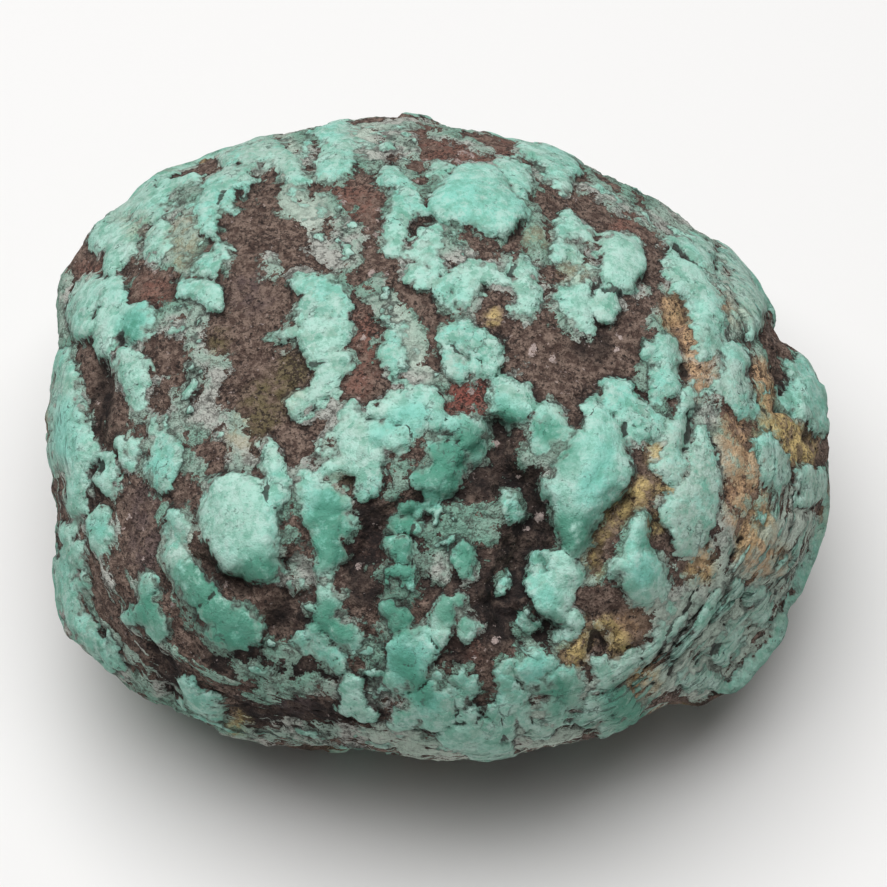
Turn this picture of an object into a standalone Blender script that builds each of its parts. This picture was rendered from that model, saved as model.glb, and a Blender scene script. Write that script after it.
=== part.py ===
"""A raw turquoise nugget: one loose, worn stone, modelled as one closed solid.

The stone is a flattened, slightly tilted egg. Worn turquoise stands proud of it in lumps, and the
brown mother rock between them lies lower, in grooves and hollows. Its best face looks up and forward,
FACE_RISE above the level, and everything on that face is placed by two lengths in millimetres:
across (to the right, +X) and up the face. The sides that turn away from it carry lumps of the same
size that come from a steady noise pattern. The stone rests on a small flat underneath.
"""

import math

import bmesh
import bpy
import numpy as np
from mathutils import Vector, noise

NAME = "turquoise_nugget"
MM = 0.001

# ---- overall shape, in millimetres -----------------------------------------------------------------
FACE_RISE = math.radians(55)  # how far above the level the best face looks
SIGHT = 245.0                 # the marks are laid out as seen from this far in front of the face
FRONT_BULGE = 16.6            # how far the best face swells out of the plane of its outline
BACK_BULGE = 15.6             # and how far the hidden side swells behind that plane
ROUNDNESS = 2.12              # 2 is an ellipse in section, more is boxier
LEAN = -0.36                  # the outline's plane leans: its upper edge lies further back
REST_DEPTH = 13.75            # the flat it rests on, below the middle of the outline
RIM_BAND = 0.16               # how far the small bays of the outline run on round the sides

# Its outline, clockwise from the left shoulder: across, up.
OUTLINE = [
    (-25.1, 11), (-24.3, 12.2), (-23.3, 13.8), (-22.4, 14.6), (-20.7, 15.4), (-19, 17), (-18, 17.45),
    (-16, 18), (-14, 19), (-12, 19.65), (-10, 20.1), (-7, 20.9), (-4, 21.45), (-2, 21.25), (0, 20.5),
    (2, 19.9), (4, 19.2), (6, 19.35), (7, 19.3), (9, 18.4), (11, 17.2), (13, 16.5), (15, 15.45),
    (17, 13.8), (19, 12.7), (20, 11.6), (21, 10), (21.9, 7.8), (22, 7.2), (22.5, 6.6), (23.8, 5.9),
    (25, 4.3), (25.6, 3.2), (25.95, 1), (26, -3), (25.5, -5), (24.9, -7), (23.8, -10), (22.6, -13.2),
    (21.8, -14.3), (20.3, -16), (18.2, -17.6), (17.2, -18.1), (15, -18.2), (13.7, -18.1), (12, -19.6),
    (10.5, -20.1), (9, -20.3), (7, -20.1), (5, -20.8), (3, -21.25), (1, -21.15), (-1, -21.25),
    (-3, -20.6), (-6, -20.35), (-8, -20.9), (-11, -21), (-14, -20.3), (-16, -19.2), (-18, -18.2),
    (-19.8, -17.6), (-21.5, -16.3), (-22.7, -15), (-25, -13.3), (-25.5, -11.3), (-25.7, -6),
    (-25.4, -3.2), (-26.1, -1), (-26, 1), (-25.7, 4), (-25.15, 6), (-25.5, 8.5), (-25.4, 10),
]

# Broad swells and hollows of the face: across, up, reach, height.
SWELLS = [
    (-12, 9, 9, 0.7), (3, 15, 6, 0.8), (10, 9, 6, 0.4), (9.5, -2.5, 4.5, 1.2), (3, -16, 6.5, 1.5),
    (-13, -6, 4.5, 0.9), (17, 7, 4.5, 0.7), (20, 1, 5, 0.5), (16.5, -3.5, 3, 0.6), (13.3, -8.5, 3, 0.8),
    (-21, 7, 4, 0.5), (-3, 0, 4, 0.5), (-15, -12, 5, 0.5),
    (4, -7, 4, -1.1), (10, 5, 4, -0.6), (-6, -6, 3, -0.5), (-20, -5, 4, -0.7), (-17, 1, 3.5, -0.6),
    (19, -12.5, 5.5, -1.5), (-10, -17, 5, -0.9), (11.5, -13.5, 2.5, -0.9), (-10, 3, 5, -0.4),
    (-9, 14, 4, -0.4),
]

# Grooves: depth, then the line that each follows as across, up, half its width.
GROOVES = [
    (1.3, [(4, 0, .9), (3, -2, .9), (5.5, -3.5, .8), (6, -6, .9), (5.5, -8.5, 1), (4, -11, .9),
           (5.5, -13, .9), (7.5, -13, .7)]),
    (0.8, [(1.5, -3.6, .4), (-1, -4.6, .4), (-4.5, -6.5, .6), (-5.5, -8.5, .7)]),
    (0.8, [(-10, -8.5, .6), (-9, -9.8, .7), (-10.5, -12, .9)]),
    (0.7, [(-15.8, -8.5, .4), (-14.5, -9.6, .5), (-12.5, -10.3, .5)]),
    (0.8, [(-22.5, 4, .6), (-23, 1, .6), (-22.9, -1.5, .4)]),
    (0.9, [(22, 7, .4), (23.2, 4, .5), (23.3, 2, .4)]),
    (0.8, [(12, -4.5, .5), (10.8, -6.3, .6), (10, -8.8, .6)]),
    (1.2, [(10.6, -13.2, .5), (10.6, -14.2, .4)]),
    (0.7, [(20, -12.8, .4), (19.5, -13.8, .4), (18.7, -14.8, .4)]),
    (0.6, [(-19.5, -14, .5), (-18.2, -16, .5), (-18, -17.3, .5)]),
    (0.6, [(-13, -9.9, .3), (-18.2, -6.5, .3), (-18.6, -9.5, .3), (-17.2, -11.4, .3), (-16.2, -14.2, .3)]),
    (0.7, [(16.5, 8.4, .4), (15.7, 7.2, .4), (16.2, 4.6, .3)]),
    (0.6, [(16.6, 1, .2), (16.6, -.8, .2)]),
]

# Thin ledges that follow the turn of the sides: height, then the line.
LEDGES = [
    (0.45, [(18.6, 9, .35), (18.6, 2, .35), (18.5, -6, .35)]),
    (0.4, [(20.3, 5.5, .3), (20.3, 1.6, .3)]),
    (0.4, [(-19.3, -13.2, .3), (-17, -14.9, .3), (-14.5, -16.2, .3)]),
    (0.35, [(-18.3, -4.3, .25), (-18.4, -8, .25), (-17.3, -10.5, .25)]),
    (0.4, [(-22.6, -8.2, .3), (-21.8, -10.6, .3)]),
    (0.35, [(18.9, -5, .3), (18.9, -9, .3)]),
    (0.4, [(-14.8, -19.8, .3), (-11.2, -20.6, .3)]),
]

# The lumps of turquoise, by how high they stand; each chain of beads is across, up, half its width.
HIGH = [
    [(-13.6, -4.4, 1.8), (-12.7, -5, 1.7), (-12.6, -6.6, 1.8), (-12.9, -7.4, 1.6), (-12, -8.2, 1.4)],
    [(-13.8, -5.9, 1.8), (-12.9, -7.4, 1.6)],
    [(10.8, 1.2, .7), (10.5, .6, .85), (10.2, -.8, 1.1), (9.8, -2, 1.3), (9.4, -3.2, 1.3),
     (9.3, -4.4, 1.3), (8.7, -5.4, 1), (8.9, -6.3, .9), (9, -7.6, .5)],
    [(11.2, .3, .9), (11.4, -.8, 1), (11.3, -2, 1.2), (10.9, -3.1, 1.2), (10.2, -4.3, .9),
     (9.7, -5.3, .9)],
    [(7.4, -3.6, .5), (8.2, -3.8, .9), (9.3, -4.4, 1.2)],
    [(.6, 15.2, 1.2), (1.8, 16, 1.3), (3.2, 16.2, 1.2)],
    [(1, 15.1, 1.1), (2.4, 15, 1.1), (3.6, 15.2, 1), (4.9, 14.7, .6)],
    [(13.6, -8.2, 1), (12.7, -8.9, .9), (13.5, -9.3, 1.2), (14, -10.2, .9)],
    [(-9.2, 10.3, .5), (-7.9, 9.6, .8), (-7.9, 8.6, 1), (-8.2, 7.6, 1), (-8.2, 6.6, .95),
     (-8.4, 5.8, .65)],
    [(-7.1, 9.3, .7), (-7, 8.3, .9), (-7.1, 7.3, 1), (-7.3, 6.3, .9), (-7.5, 5.5, .65)],
    [(11.5, 12.6, .75), (12.6, 12.4, .75), (12.4, 11.1, .9), (11.9, 11.8, 1), (11.4, 10.6, .7),
     (12.2, 10.2, .7)],
]
MIDDLE = [
    [(-20.4, 15.1, .5), (-19.4, 15.3, .9), (-18.6, 16.1, .9), (-17.8, 16.9, .6)],
    [(-22.5, 13.5, .8), (-21.4, 13.2, 1), (-21, 12.5, .8), (-21.7, 11.6, .5)],
    [(-13, 17.1, .5), (-14.1, 17, .65), (-15.1, 16.2, .85), (-15.4, 15.3, .65), (-15.2, 14.3, .45)],
    [(-13.3, 18.5, .45), (-11.3, 18.8, .6), (-9.9, 18.1, .6), (-9.8, 17.1, .45)],
    [(-6.2, 20.3, .7), (-6.5, 19.2, .9), (-7, 18.3, .9), (-7.4, 17.7, .5)],
    [(-3.3, 17.2, .6), (-2.3, 16.2, .5), (-1.9, 15.6, .6)],
    [(-2.5, 15.6, .6), (-2.8, 14.6, .75), (-2.9, 13.6, .7), (-2.9, 12.6, .5)],
    [(4, 14.2, .85), (4.2, 13.6, .5)], [(4.2, 17.6, .45), (5, 17.2, .7), (5.5, 16.6, .6)],
    [(7, 18.9, .5), (8, 18.5, .5)], [(7.3, 18.2, .4), (8, 17.3, .55)],
    [(8.4, 14.4, .45), (8.9, 13.9, .6), (9.5, 13.5, .45)],
    [(10.5, 9.2, .4), (11, 8.5, .6), (11.4, 8.3, .4)],
    [(.9, 10.4, .5), (2.4, 10.7, .6), (4.2, 10.4, .45)], [(1.8, 10.2, .6), (1.5, 9.2, .5), (.4, 9.6, .5)],
    [(5.3, 11.1, .5), (5.8, 9.8, .75), (5.9, 9.2, .75), (5.4, 8.7, .45)],
    [(8.5, 9.3, .45), (9.2, 9.6, .55), (9, 8.9, .7), (9.2, 8.2, .7), (9.9, 7.2, .35)],
    [(1.5, 7, .6), (1.6, 6.3, .9), (2.5, 6.1, .75), (3.1, 5.6, .75), (3.3, 4.5, .5)],
    [(.8, 6.6, .5), (.9, 4.8, .6)], [(4, 3.4, .55), (4.6, 3.1, .7), (5.2, 2.7, .8), (5.2, 1.7, .7)],
    [(4.4, 2.4, .9), (4.5, 1.7, .8)], [(6.9, 1.8, .35), (7.2, 1.2, .6), (7, .1, .65), (6.7, -.5, .5)],
    [(1, .9, .5), (1.8, .9, .8), (2.1, -.4, .65), (2.5, -1.4, .35)],
    [(11.6, 3.1, .55), (12.4, 2.1, .7), (12.7, 1.4, .9), (13.4, 1.1, .9), (14.1, .9, .8)],
    [(13, .3, .7), (13.8, .3, .7)], [(6.8, -8.4, .6), (8.5, -8.8, .8)],
    [(6.9, -9.4, .9), (8.1, -9.6, .9)], [(6.6, -10, .6), (7.5, -10.4, 1), (7.5, -11.4, .7)],
    [(-23, 9.5, .9), (-22, 9.3, .8), (-21.2, 9, .5)], [(-23.5, 8.9, .8), (-23.6, 7.4, .75)],
    [(-21.9, 7.9, .5), (-21.5, 7.3, .75), (-21.9, 6.5, .7), (-22, 5.5, .5)],
    [(-20.3, 7.9, .6), (-19.7, 7.7, .7), (-20.1, 7.1, .75)],
    [(-20.6, 5.4, .45), (-20.4, 4.6, .6), (-20.2, 3.7, .7), (-19.9, 2.6, .55)],
    [(-25, 5.3, .35), (-25, 3.5, .7), (-25, 1.5, .8), (-24.8, .5, .9), (-25, -.6, .9), (-24.9, -1.6, .9),
     (-24.5, -3.8, .5)],
    [(-16.5, 9.8, .55), (-15.4, 9.6, .45), (-14.8, 9, .4)],
    [(-6.4, 5.1, .5), (-7.3, 4.3, .65), (-7.6, 2.9, .6), (-9.4, 2, .5)],
    [(-3.2, 5.8, .45), (-3.2, 5, .5)], [(-2.7, 2.6, .6), (-1.2, 2.5, .7), (-.4, 2.2, .6)],
    [(-4.3, 1.6, .45), (-3.4, 1.8, .7), (-2.4, 1.8, .8), (-1.4, 1.6, .9), (-.5, 1.3, .8)],
    [(-1.8, .8, .8), (-2.5, .1, .5)],
    [(-5.9, 1.5, .55), (-6.1, .7, .6), (-5.8, -.1, .8), (-4.7, .1, .9), (-3.5, -.2, .7)],
    [(-5.3, -1, 1), (-5, -2, .7), (-4.8, -3.3, .6)], [(-7, -2, .4), (-5, -2, .7)],
    [(-8.6, -3, .6), (-8, -4.4, .9), (-7.2, -4.6, .9), (-7.2, -6.4, .9), (-7.5, -7.1, .85),
     (-7.6, -8.5, .6)],
    [(-11.2, -1.2, .5), (-11, -2.4, .7), (-11, -3.6, .7), (-11.5, -4.6, .7)],
    [(-18.6, -1.6, .8), (-18.5, -2.6, .65)], [(-22.4, -1.8, .5), (-22.4, -3.1, .5)],
    [(-23.1, -5.8, .7), (-22.9, -7, .6)],
    [(-24.7, -7.4, .45), (-25.1, -9.4, .5), (-24.7, -11.5, .55), (-23.7, -13.3, .5), (-22, -15, .4)],
    [(-17.5, -6.2, .45), (-17.4, -8, .5), (-16.6, -9.8, .6), (-15.4, -11.2, .8), (-14.4, -12, .9),
     (-13.4, -12.4, .9), (-12.5, -12.9, .8)],
    [(-19.5, -10.5, .55), (-19.4, -11.6, .65), (-18.9, -12.8, .6)],
    [(-2.8, -5.8, .5), (-2.7, -7.3, .6), (-2.8, -8.9, .6), (-2, -10, .45)],
    [(-.6, -2.9, .8), (.4, -2.6, 1), (.2, -3.4, .8)], [(.2, -1, .9), (1, -1.7, .8)],
    [(1.6, -7.6, .5), (1.7, -8.9, .45)], [(15.8, 1, .5), (15.8, -.6, .6), (15.5, -2, .85)],
    [(17.6, -1.4, .5), (17.6, -2.2, .75), (17.3, -3.2, 1), (17.4, -4.4, 1), (17.4, -6, .8)],
    [(16.6, -3.7, .8), (16.4, -4.6, .9), (16.4, -5.7, .8), (16.5, -7, .6)],
    [(13, -5.9, .5), (13.3, -6.8, .7), (13.6, -8.2, 1)],
    [(12.6, -8.9, .8), (13.1, -10.1, .8), (14, -10.2, .9)],
    [(15.5, 10.9, .5), (17.2, 10.6, .6), (17.5, 8.8, .9), (17.6, 7.8, .85), (17.9, 6.2, .6)],
    [(16.2, 10, .8), (17, 9.7, .9)], [(14.4, 5.8, .4), (15.1, 6, .6), (15, 4.5, .75), (14.9, 3.4, .65)],
    [(19.6, 4.7, .6), (19.4, 3.4, .75), (19.9, 2, .5)],
    [(18.6, 12.6, .4), (19.6, 11.4, .7), (20.4, 9.8, .6), (20.7, 8.2, .65), (20.9, 6.9, .35)],
    [(15.9, 12.8, .4), (17.5, 11.6, .4)], [(24.1, 4.8, .35), (24.4, 3.4, .7), (24.4, 2.3, .7)],
    [(21.6, -.6, .55), (22.4, -2.5, .75)], [(24.6, -2.8, .55), (25.2, -3.4, .65), (24.6, -4, .45)],
    [(18.9, -9.6, .55), (18.8, -10.6, .8)], [(22.3, -11.2, .6), (22.4, -12.3, .5)],
    [(20.9, -14.2, .65), (20.2, -15.3, .5)], [(18.6, -11.2, .65), (19, -12.4, .55)],
    [(16.5, -15.8, .5), (17.5, -14.6, .5)],
    [(-7.4, -11.3, .55), (-7.5, -12.1, .65), (-6.5, -13.2, .8), (-5.9, -13.3, .7)],
    [(-8.3, -13.2, .5), (-7.8, -14, .7), (-6.9, -15, .45)], [(-3, -11, .8), (-2.6, -11.9, .7)],
    [(-2.4, -13.5, .7), (-2.4, -14.6, .9), (-2.8, -16, .7)], [(-1.8, -14.2, .9), (-.8, -14.1, .6)],
    [(-1.8, -15.8, .8), (-1, -17.3, .9), (-.6, -18.4, .9)],
    [(.2, -17.4, .8), (.3, -18.3, .9), (.8, -19.4, .8), (2.9, -19.3, .9), (3.6, -18.9, .8)],
    [(-5.8, -16.6, .5), (-5.7, -17.8, .6)], [(-16.8, -17.2, .5), (-16, -18, .7)],
    [(.5, -11.3, .8), (.4, -12, .8), (-.1, -13.2, .5)], [(2.4, -20.3, .65), (4.4, -20.3, .5)],
    [(4.8, -16.4, .6), (4.5, -17.6, .6), (4.1, -19, .6)], [(5.5, -15.6, .5), (6.8, -15.1, .6)],
    [(8, -16.2, .75), (8.7, -16.3, .6)], [(8.2, -17, .8), (7.7, -18.2, .5)],
    [(10.9, -15.5, .5), (11.5, -16, .6), (13, -15, .55)],
    [(9.8, -18.6, .45), (11.4, -17.9, .8), (12.2, -17.9, .8)],
]
LOW = [
    [(-16.8, 16.2, .5), (-16.8, 13.6, .6), (-16.8, 11.4, .6)], [(-9.3, 20, .6), (-8.5, 20.2, .5)],
    [(-5.2, 19.6, .7), (-4.7, 18.8, .7)], [(-4.2, 21, .4), (-1.2, 20.6, .4)],
    [(-9.9, 15.8, .5), (-8.6, 15.1, .7)], [(-6.4, 14.2, .5), (-5.5, 12.9, .5)],
    [(-6.5, 13.4, .5), (-6.8, 12.1, .7)], [(.4, 13.3, .6), (1.5, 12, .6)],
    [(-18, 8.3, .3), (-16.5, 8.6, .5), (-16.4, 6, .4)], [(-15.3, 2.8, .4), (-16, .4, .4)],
    [(-17.2, 2, .5), (-17.3, .1, .5)],
    [(-15.4, .9, .4), (-13.9, 1.3, .35), (-13.2, -.2, .4), (-13.3, -2, .4)],
    [(-3.4, 8.6, .7), (-2, 7.4, .55), (-1.7, 6.6, .6)], [(8, -.5, .8), (7.6, -1.3, .65)],
    [(.6, -6.3, .7), (1.6, -6.4, .7), (3.1, -6.5, .5)], [(13.6, 4.8, .4), (13.6, 3.6, .6)],
    [(-4.2, -15.2, .65), (-4, -16.3, .65)], [(23.3, -6.8, .8), (24.3, -5.8, .7)],
    [(-3.2, -12.6, .6), (-3.4, -12.2, .5)],
]
HIGH_STEP, MIDDLE_STEP, LOW_STEP = 1.05, 0.65, 0.35  # how far each kind of lump stands above the rock
SPREAD = 0.26                     # how much wider than its line each lump of turquoise is
EDGE_FOOT, EDGE_TOP = -0.45, 0.7  # a lump's side rises between these depths inside its edge
PATCH = 4.4           # size of the noise-made lumps on the sides that turn away

# ---- how fine the solid is -------------------------------------------------------------------------
CUTS = 79             # cuts along each edge of the starting cube
FACE_CROWDING = 0.28  # how much closer the points lie on the best face
WEAR_PASSES = 2       # rounds of smoothing that dull the points
KEPT_FACES = 9300     # triangles left after thinning


def chain_depth(at, chains):
    """How far inside the nearest fattened chain each place lies, in mm; negative outside."""
    depth = np.full(len(at), -9.0)
    for chain in chains:
        for (x0, y0, r0), (x1, y1, r1) in zip(chain, chain[1:]):
            run = np.array((x1 - x0, y1 - y0))
            offset = at - (x0, y0)
            along = np.clip(offset @ run / (run @ run), 0, 1)
            gap = np.linalg.norm(offset - along[:, None] * run, axis=1)
            depth = np.maximum(depth, r0 + (r1 - r0) * along - gap)
    return depth


def smooth_step(low, high, value):
    t = np.clip((value - low) / (high - low), 0, 1)
    return t * t * (3 - 2 * t)


def lump_height(depth, step):
    """A worn lump: a rounded side, then nearly level."""
    return step * smooth_step(EDGE_FOOT, EDGE_TOP, depth)


def outline_radius(bearing, blur):
    """Distance from the middle to the outline in a direction, averaged over a blur in radians."""
    points = np.array(OUTLINE)
    bearings = np.arctan2(points[:, 1], points[:, 0])
    order = np.argsort(bearings)
    reach = np.hypot(points[:, 0], points[:, 1])
    turn = 2 * math.pi
    shifts = np.linspace(-blur, blur, 9)
    return sum(np.interp(bearing + s, bearings[order], reach[order], period=turn) for s in shifts) / 9


def crowd_to_face(unit):
    """Moves points on the unit ball towards the side that the best face is on."""
    polar = np.arccos(np.clip(unit[:, 2], -1, 1))
    closer = polar - FACE_CROWDING * np.sin(polar)
    ring = np.maximum(np.hypot(unit[:, 0], unit[:, 1]), 1e-9)
    outward = unit[:, :2] / ring[:, None] * np.sin(closer)[:, None]
    return np.column_stack((outward, np.cos(closer)))


def face_relief(at):
    """Height of the best face over its smooth form at places given as across, up."""
    height = np.zeros(len(at))
    for across, up, reach, rise in SWELLS:
        height += rise * np.exp(-((at[:, 0] - across) ** 2 + (at[:, 1] - up) ** 2) / reach ** 2)
    for depth, line in GROOVES:
        height -= depth * smooth_step(-0.9, 0.5, chain_depth(at, [line]))
    ledges = [lump_height(chain_depth(at, [line]), rise) for rise, line in LEDGES]
    lumps = [lump_height(chain_depth(at, chains) + SPREAD, step)
             for chains, step in ((HIGH, HIGH_STEP), (MIDDLE, MIDDLE_STEP), (LOW, LOW_STEP))]
    return height + np.maximum.reduce(ledges + lumps) - MIDDLE_STEP


def wild_lumps(points):
    """Height of the sides that turn away, from a steady noise pattern, and their broad unevenness."""
    depths, broad = np.empty(len(points)), np.empty(len(points))
    for i, point in enumerate(points):
        spot = Vector(point) / PATCH
        depths[i] = 2.2 * noise.fractal(spot, 0.9, 2.2, 2)
        broad[i] = 1.3 * noise.noise(spot * 0.42 + Vector((7.3, 1.1, 4.2)))
    return broad + lump_height(depths, MIDDLE_STEP) - MIDDLE_STEP


def stone_points(unit, normals_of):
    """The surface point, in world mm, that each point of the unit ball becomes."""
    ring = np.hypot(unit[:, 0], unit[:, 1])
    swell = (ring ** ROUNDNESS + np.abs(unit[:, 2]) ** ROUNDNESS) ** (-1 / ROUNDNESS)
    bearing = np.arctan2(unit[:, 1], unit[:, 0])
    at_rim = np.exp(-(unit[:, 2] / RIM_BAND) ** 2)
    radius = outline_radius(bearing, 0.02) * at_rim + outline_radius(bearing, 0.45) * (1 - at_rim)
    reach = swell * ring * radius
    at = np.column_stack((reach * np.cos(bearing), reach * np.sin(bearing)))
    bulge = np.where(unit[:, 2] > 0, FRONT_BULGE, BACK_BULGE)
    out = swell * unit[:, 2] * bulge + LEAN * at[:, 1]
    smooth_form = to_world(at, out)
    normals = normals_of(smooth_form)
    eye = to_world(np.zeros((1, 2)), np.array([SIGHT]))[0]
    sight = eye - smooth_form
    sight /= np.linalg.norm(sight, axis=1)[:, None]
    facing = np.einsum("ij,ij->i", normals, sight)
    turned = smooth_step(0.85, 0.45, facing)[:, None]
    push = normals * turned + sight * (1 - turned)
    hand_laid = smooth_step(-0.25, 0.0, facing)
    near_rim = 1 - 0.4 * smooth_step(0.5, 0.1, facing)
    height = hand_laid * near_rim * face_relief(at) + (1 - hand_laid) * wild_lumps(smooth_form)
    return smooth_form + push * height[:, None]


def to_world(at, out):
    """From across, up and out of the face to X, Y and Z, with the spread of a near view undone."""
    spread = 1 - out / SIGHT
    across, up = at[:, 0] * spread, at[:, 1] * spread
    rise, lie = math.sin(FACE_RISE), math.cos(FACE_RISE)
    return np.column_stack((across, up * rise - out * lie, up * lie + out * rise))


def mesh_points(mesh, kind):
    values = np.empty(len(mesh.vertices) * 3)
    mesh.vertices.foreach_get(kind, values)
    return values.reshape(-1, 3)


def worn_ball():
    """A finely divided ball, shaped into the stone."""
    shape = bmesh.new()
    bmesh.ops.create_cube(shape, size=2)
    bmesh.ops.subdivide_edges(shape, edges=shape.edges[:], cuts=CUTS, use_grid_fill=True)
    mesh = bpy.data.meshes.new(NAME)
    shape.to_mesh(mesh)
    shape.free()
    even = np.tan(mesh_points(mesh, "co") * math.pi / 4)
    unit = crowd_to_face(even / np.linalg.norm(even, axis=1)[:, None])

    def normals_of(points):
        mesh.vertices.foreach_set("co", points.ravel())
        mesh.update()
        return mesh_points(mesh, "normal")

    mesh.vertices.foreach_set("co", (stone_points(unit, normals_of) * MM).ravel())
    shape = bmesh.new()
    shape.from_mesh(mesh)
    for _ in range(WEAR_PASSES):
        bmesh.ops.smooth_vert(
            shape, verts=shape.verts[:], factor=0.5, use_axis_x=True, use_axis_y=True, use_axis_z=True)
    shape.to_mesh(mesh)
    shape.free()
    return mesh


def thinned(mesh):
    """The same stone with fewer, unequal triangles, which crowd where it is uneven."""
    full = bpy.data.objects.new("full_" + NAME, mesh)
    bpy.context.scene.collection.objects.link(full)
    thin = full.modifiers.new("thin", "DECIMATE")
    thin.ratio = KEPT_FACES / (2 * len(mesh.polygons))
    thin.use_collapse_triangulate = True
    seen = full.evaluated_get(bpy.context.evaluated_depsgraph_get())
    light = bpy.data.meshes.new_from_object(seen)
    bpy.data.objects.remove(full)
    return light


def set_flat(mesh):
    """Cuts the rest flat, and moves the stone to stand centred on the origin."""
    shape = bmesh.new()
    shape.from_mesh(mesh)
    bmesh.ops.bisect_plane(
        shape, geom=shape.verts[:] + shape.edges[:] + shape.faces[:], dist=1e-7,
        plane_co=(0, 0, -REST_DEPTH * MM), plane_no=(0, 0, -1), clear_outer=True)
    rim = [edge for edge in shape.edges if edge.is_boundary]
    bmesh.ops.contextual_create(shape, geom=rim)
    bmesh.ops.triangulate(shape, faces=[face for face in shape.faces if len(face.verts) > 3])
    places = np.array([vert.co for vert in shape.verts])
    low, high = places.min(axis=0), places.max(axis=0)
    to_origin = (-(low[0] + high[0]) / 2, -(low[1] + high[1]) / 2, -low[2])
    bmesh.ops.translate(shape, verts=shape.verts[:], vec=to_origin)
    bmesh.ops.recalc_face_normals(shape, faces=shape.faces[:])
    shape.to_mesh(mesh)
    shape.free()
    mesh.update()
    print("size in mm", (high - low) / MM)
    print("moved by mm", Vector(to_origin) / MM)
    print("triangles", len(mesh.polygons))
    return mesh


def turquoise():
    material = bpy.data.materials.new("turquoise_in_rock")
    material.use_nodes = True
    skin = material.node_tree.nodes["Principled BSDF"]
    skin.inputs["Base Color"].default_value = (0.23, 0.42, 0.33, 1)
    skin.inputs["Roughness"].default_value = 0.68
    skin.inputs["Metallic"].default_value = 0
    return material


def main():
    for item in list(bpy.data.objects):
        bpy.data.objects.remove(item)
    group = bpy.data.collections.new("raw_turquoise_nugget")
    bpy.context.scene.collection.children.link(group)
    mesh = set_flat(thinned(worn_ball()))
    mesh.name = NAME
    mesh.materials.append(turquoise())
    mesh.shade_smooth()
    group.objects.link(bpy.data.objects.new(NAME, mesh))


main()
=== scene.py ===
# %% [markdown]
# # A raw turquoise nugget
# Turquoise grows as crusts and blobs inside a brown mother rock. A nugget that has rolled about for
# years loses the rock first, because it is the softer of the two. So the blue-green lumps end up
# proud and smooth, and the rock is left behind in grooves, rough and grainy.
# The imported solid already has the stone's size, its outline and its larger lumps. This script gives
# it a finer skin over the same form, its colours, and a floor, lights and a camera to see it by.

import math

import bmesh
import bpy
import numpy as np
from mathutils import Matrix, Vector, noise


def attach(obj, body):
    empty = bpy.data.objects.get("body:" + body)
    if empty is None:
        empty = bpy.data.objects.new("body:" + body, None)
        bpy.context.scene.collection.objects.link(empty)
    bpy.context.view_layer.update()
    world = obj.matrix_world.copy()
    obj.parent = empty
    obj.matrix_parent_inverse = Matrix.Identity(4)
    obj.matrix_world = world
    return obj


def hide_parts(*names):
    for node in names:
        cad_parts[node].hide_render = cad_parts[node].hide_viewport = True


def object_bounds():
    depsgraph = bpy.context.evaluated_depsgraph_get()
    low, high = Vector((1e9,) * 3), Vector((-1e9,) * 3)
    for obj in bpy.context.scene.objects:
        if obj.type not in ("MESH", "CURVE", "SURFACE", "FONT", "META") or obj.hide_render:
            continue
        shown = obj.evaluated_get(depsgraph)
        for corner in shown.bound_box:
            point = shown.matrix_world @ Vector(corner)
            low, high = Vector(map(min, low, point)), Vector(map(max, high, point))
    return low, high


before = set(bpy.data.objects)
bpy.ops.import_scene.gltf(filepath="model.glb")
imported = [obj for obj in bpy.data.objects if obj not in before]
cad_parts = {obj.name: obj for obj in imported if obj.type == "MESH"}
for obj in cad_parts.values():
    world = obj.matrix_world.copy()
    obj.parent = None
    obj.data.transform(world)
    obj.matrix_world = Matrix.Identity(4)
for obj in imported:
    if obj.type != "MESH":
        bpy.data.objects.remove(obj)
solid_low, solid_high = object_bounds()
print("solid from", list(solid_low), "to", list(solid_high))

# %% [markdown]
# ## The sizes that the solid was made with
# The skin has to lie where the solid lies, so it starts from the same few lengths, in millimetres.
# The stone is a flattened egg whose best face looks up and forward. A place on that face is given by
# two lengths: across it to the right, and up it. A third length, out of the face, comes from the form.
# One could trace the solid's own triangles and divide them further instead, but every crease
# between them would then show through the finer skin.

# %% Driving sizes
MM = 0.001
FACE_RISE = math.radians(55)  # how far above the level the best face looks
SIGHT = 245.0                 # the marks are laid out as seen from this far in front of the face
FRONT_BULGE = 16.6            # how far the best face swells out of the plane of its outline
BACK_BULGE = 15.6             # and how far the hidden side swells behind that plane
ROUNDNESS = 2.12              # 2 is an ellipse in section, more is boxier
LEAN = -0.36                  # the outline's plane leans: its upper edge lies further back
REST_DEPTH = 13.75            # the flat it rests on, below the middle of the outline
RIM_BAND = 0.16               # how far the small bays of the outline run on round the sides
SHARP, BLURRED = 0.02, 0.45   # blur of the outline at the rim and further round, in radians
BLUR_STEPS = 9                # directions that a blur takes the mean of
HIGH_STEP, MIDDLE_STEP, LOW_STEP = 0.95, 0.58, 0.32   # how far the lumps stand above the rock
PATCH = 4.4                   # size of the lumps on the sides that turn away

# %% [markdown]
# ## Reading a drawing made of beads
# A lump here is a chain of round beads, as if rolled from clay: each bead has a place across, a place
# up and half its width. Between two beads the chain runs straight and its width changes evenly.
# For any place on the stone we ask how deep it lies inside the nearest chain. That one number does
# a lot of work: zero is the lump's edge, and it grows towards the lump's middle.
# Painting the lumps on a picture would be quicker, but a drawing in numbers stays sharp at any size.
# Where a chain runs on in the next line, that line starts with the bead at which the last one ended.

# %% Chains of beads
FAR = -1.6  # depths are not needed further outside than this, in mm


def chains_in(text):
    """Chains from lines of 'name: across,up,half-width ...', with ; between chains."""
    chains = []
    for line in text.strip().splitlines():
        for run in line.split(":")[-1].split(";"):
            beads = [tuple(float(number) for number in bead.split(",")) for bead in run.split()]
            chains.append(beads if len(beads) > 1 else beads * 2)
    return chains


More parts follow.
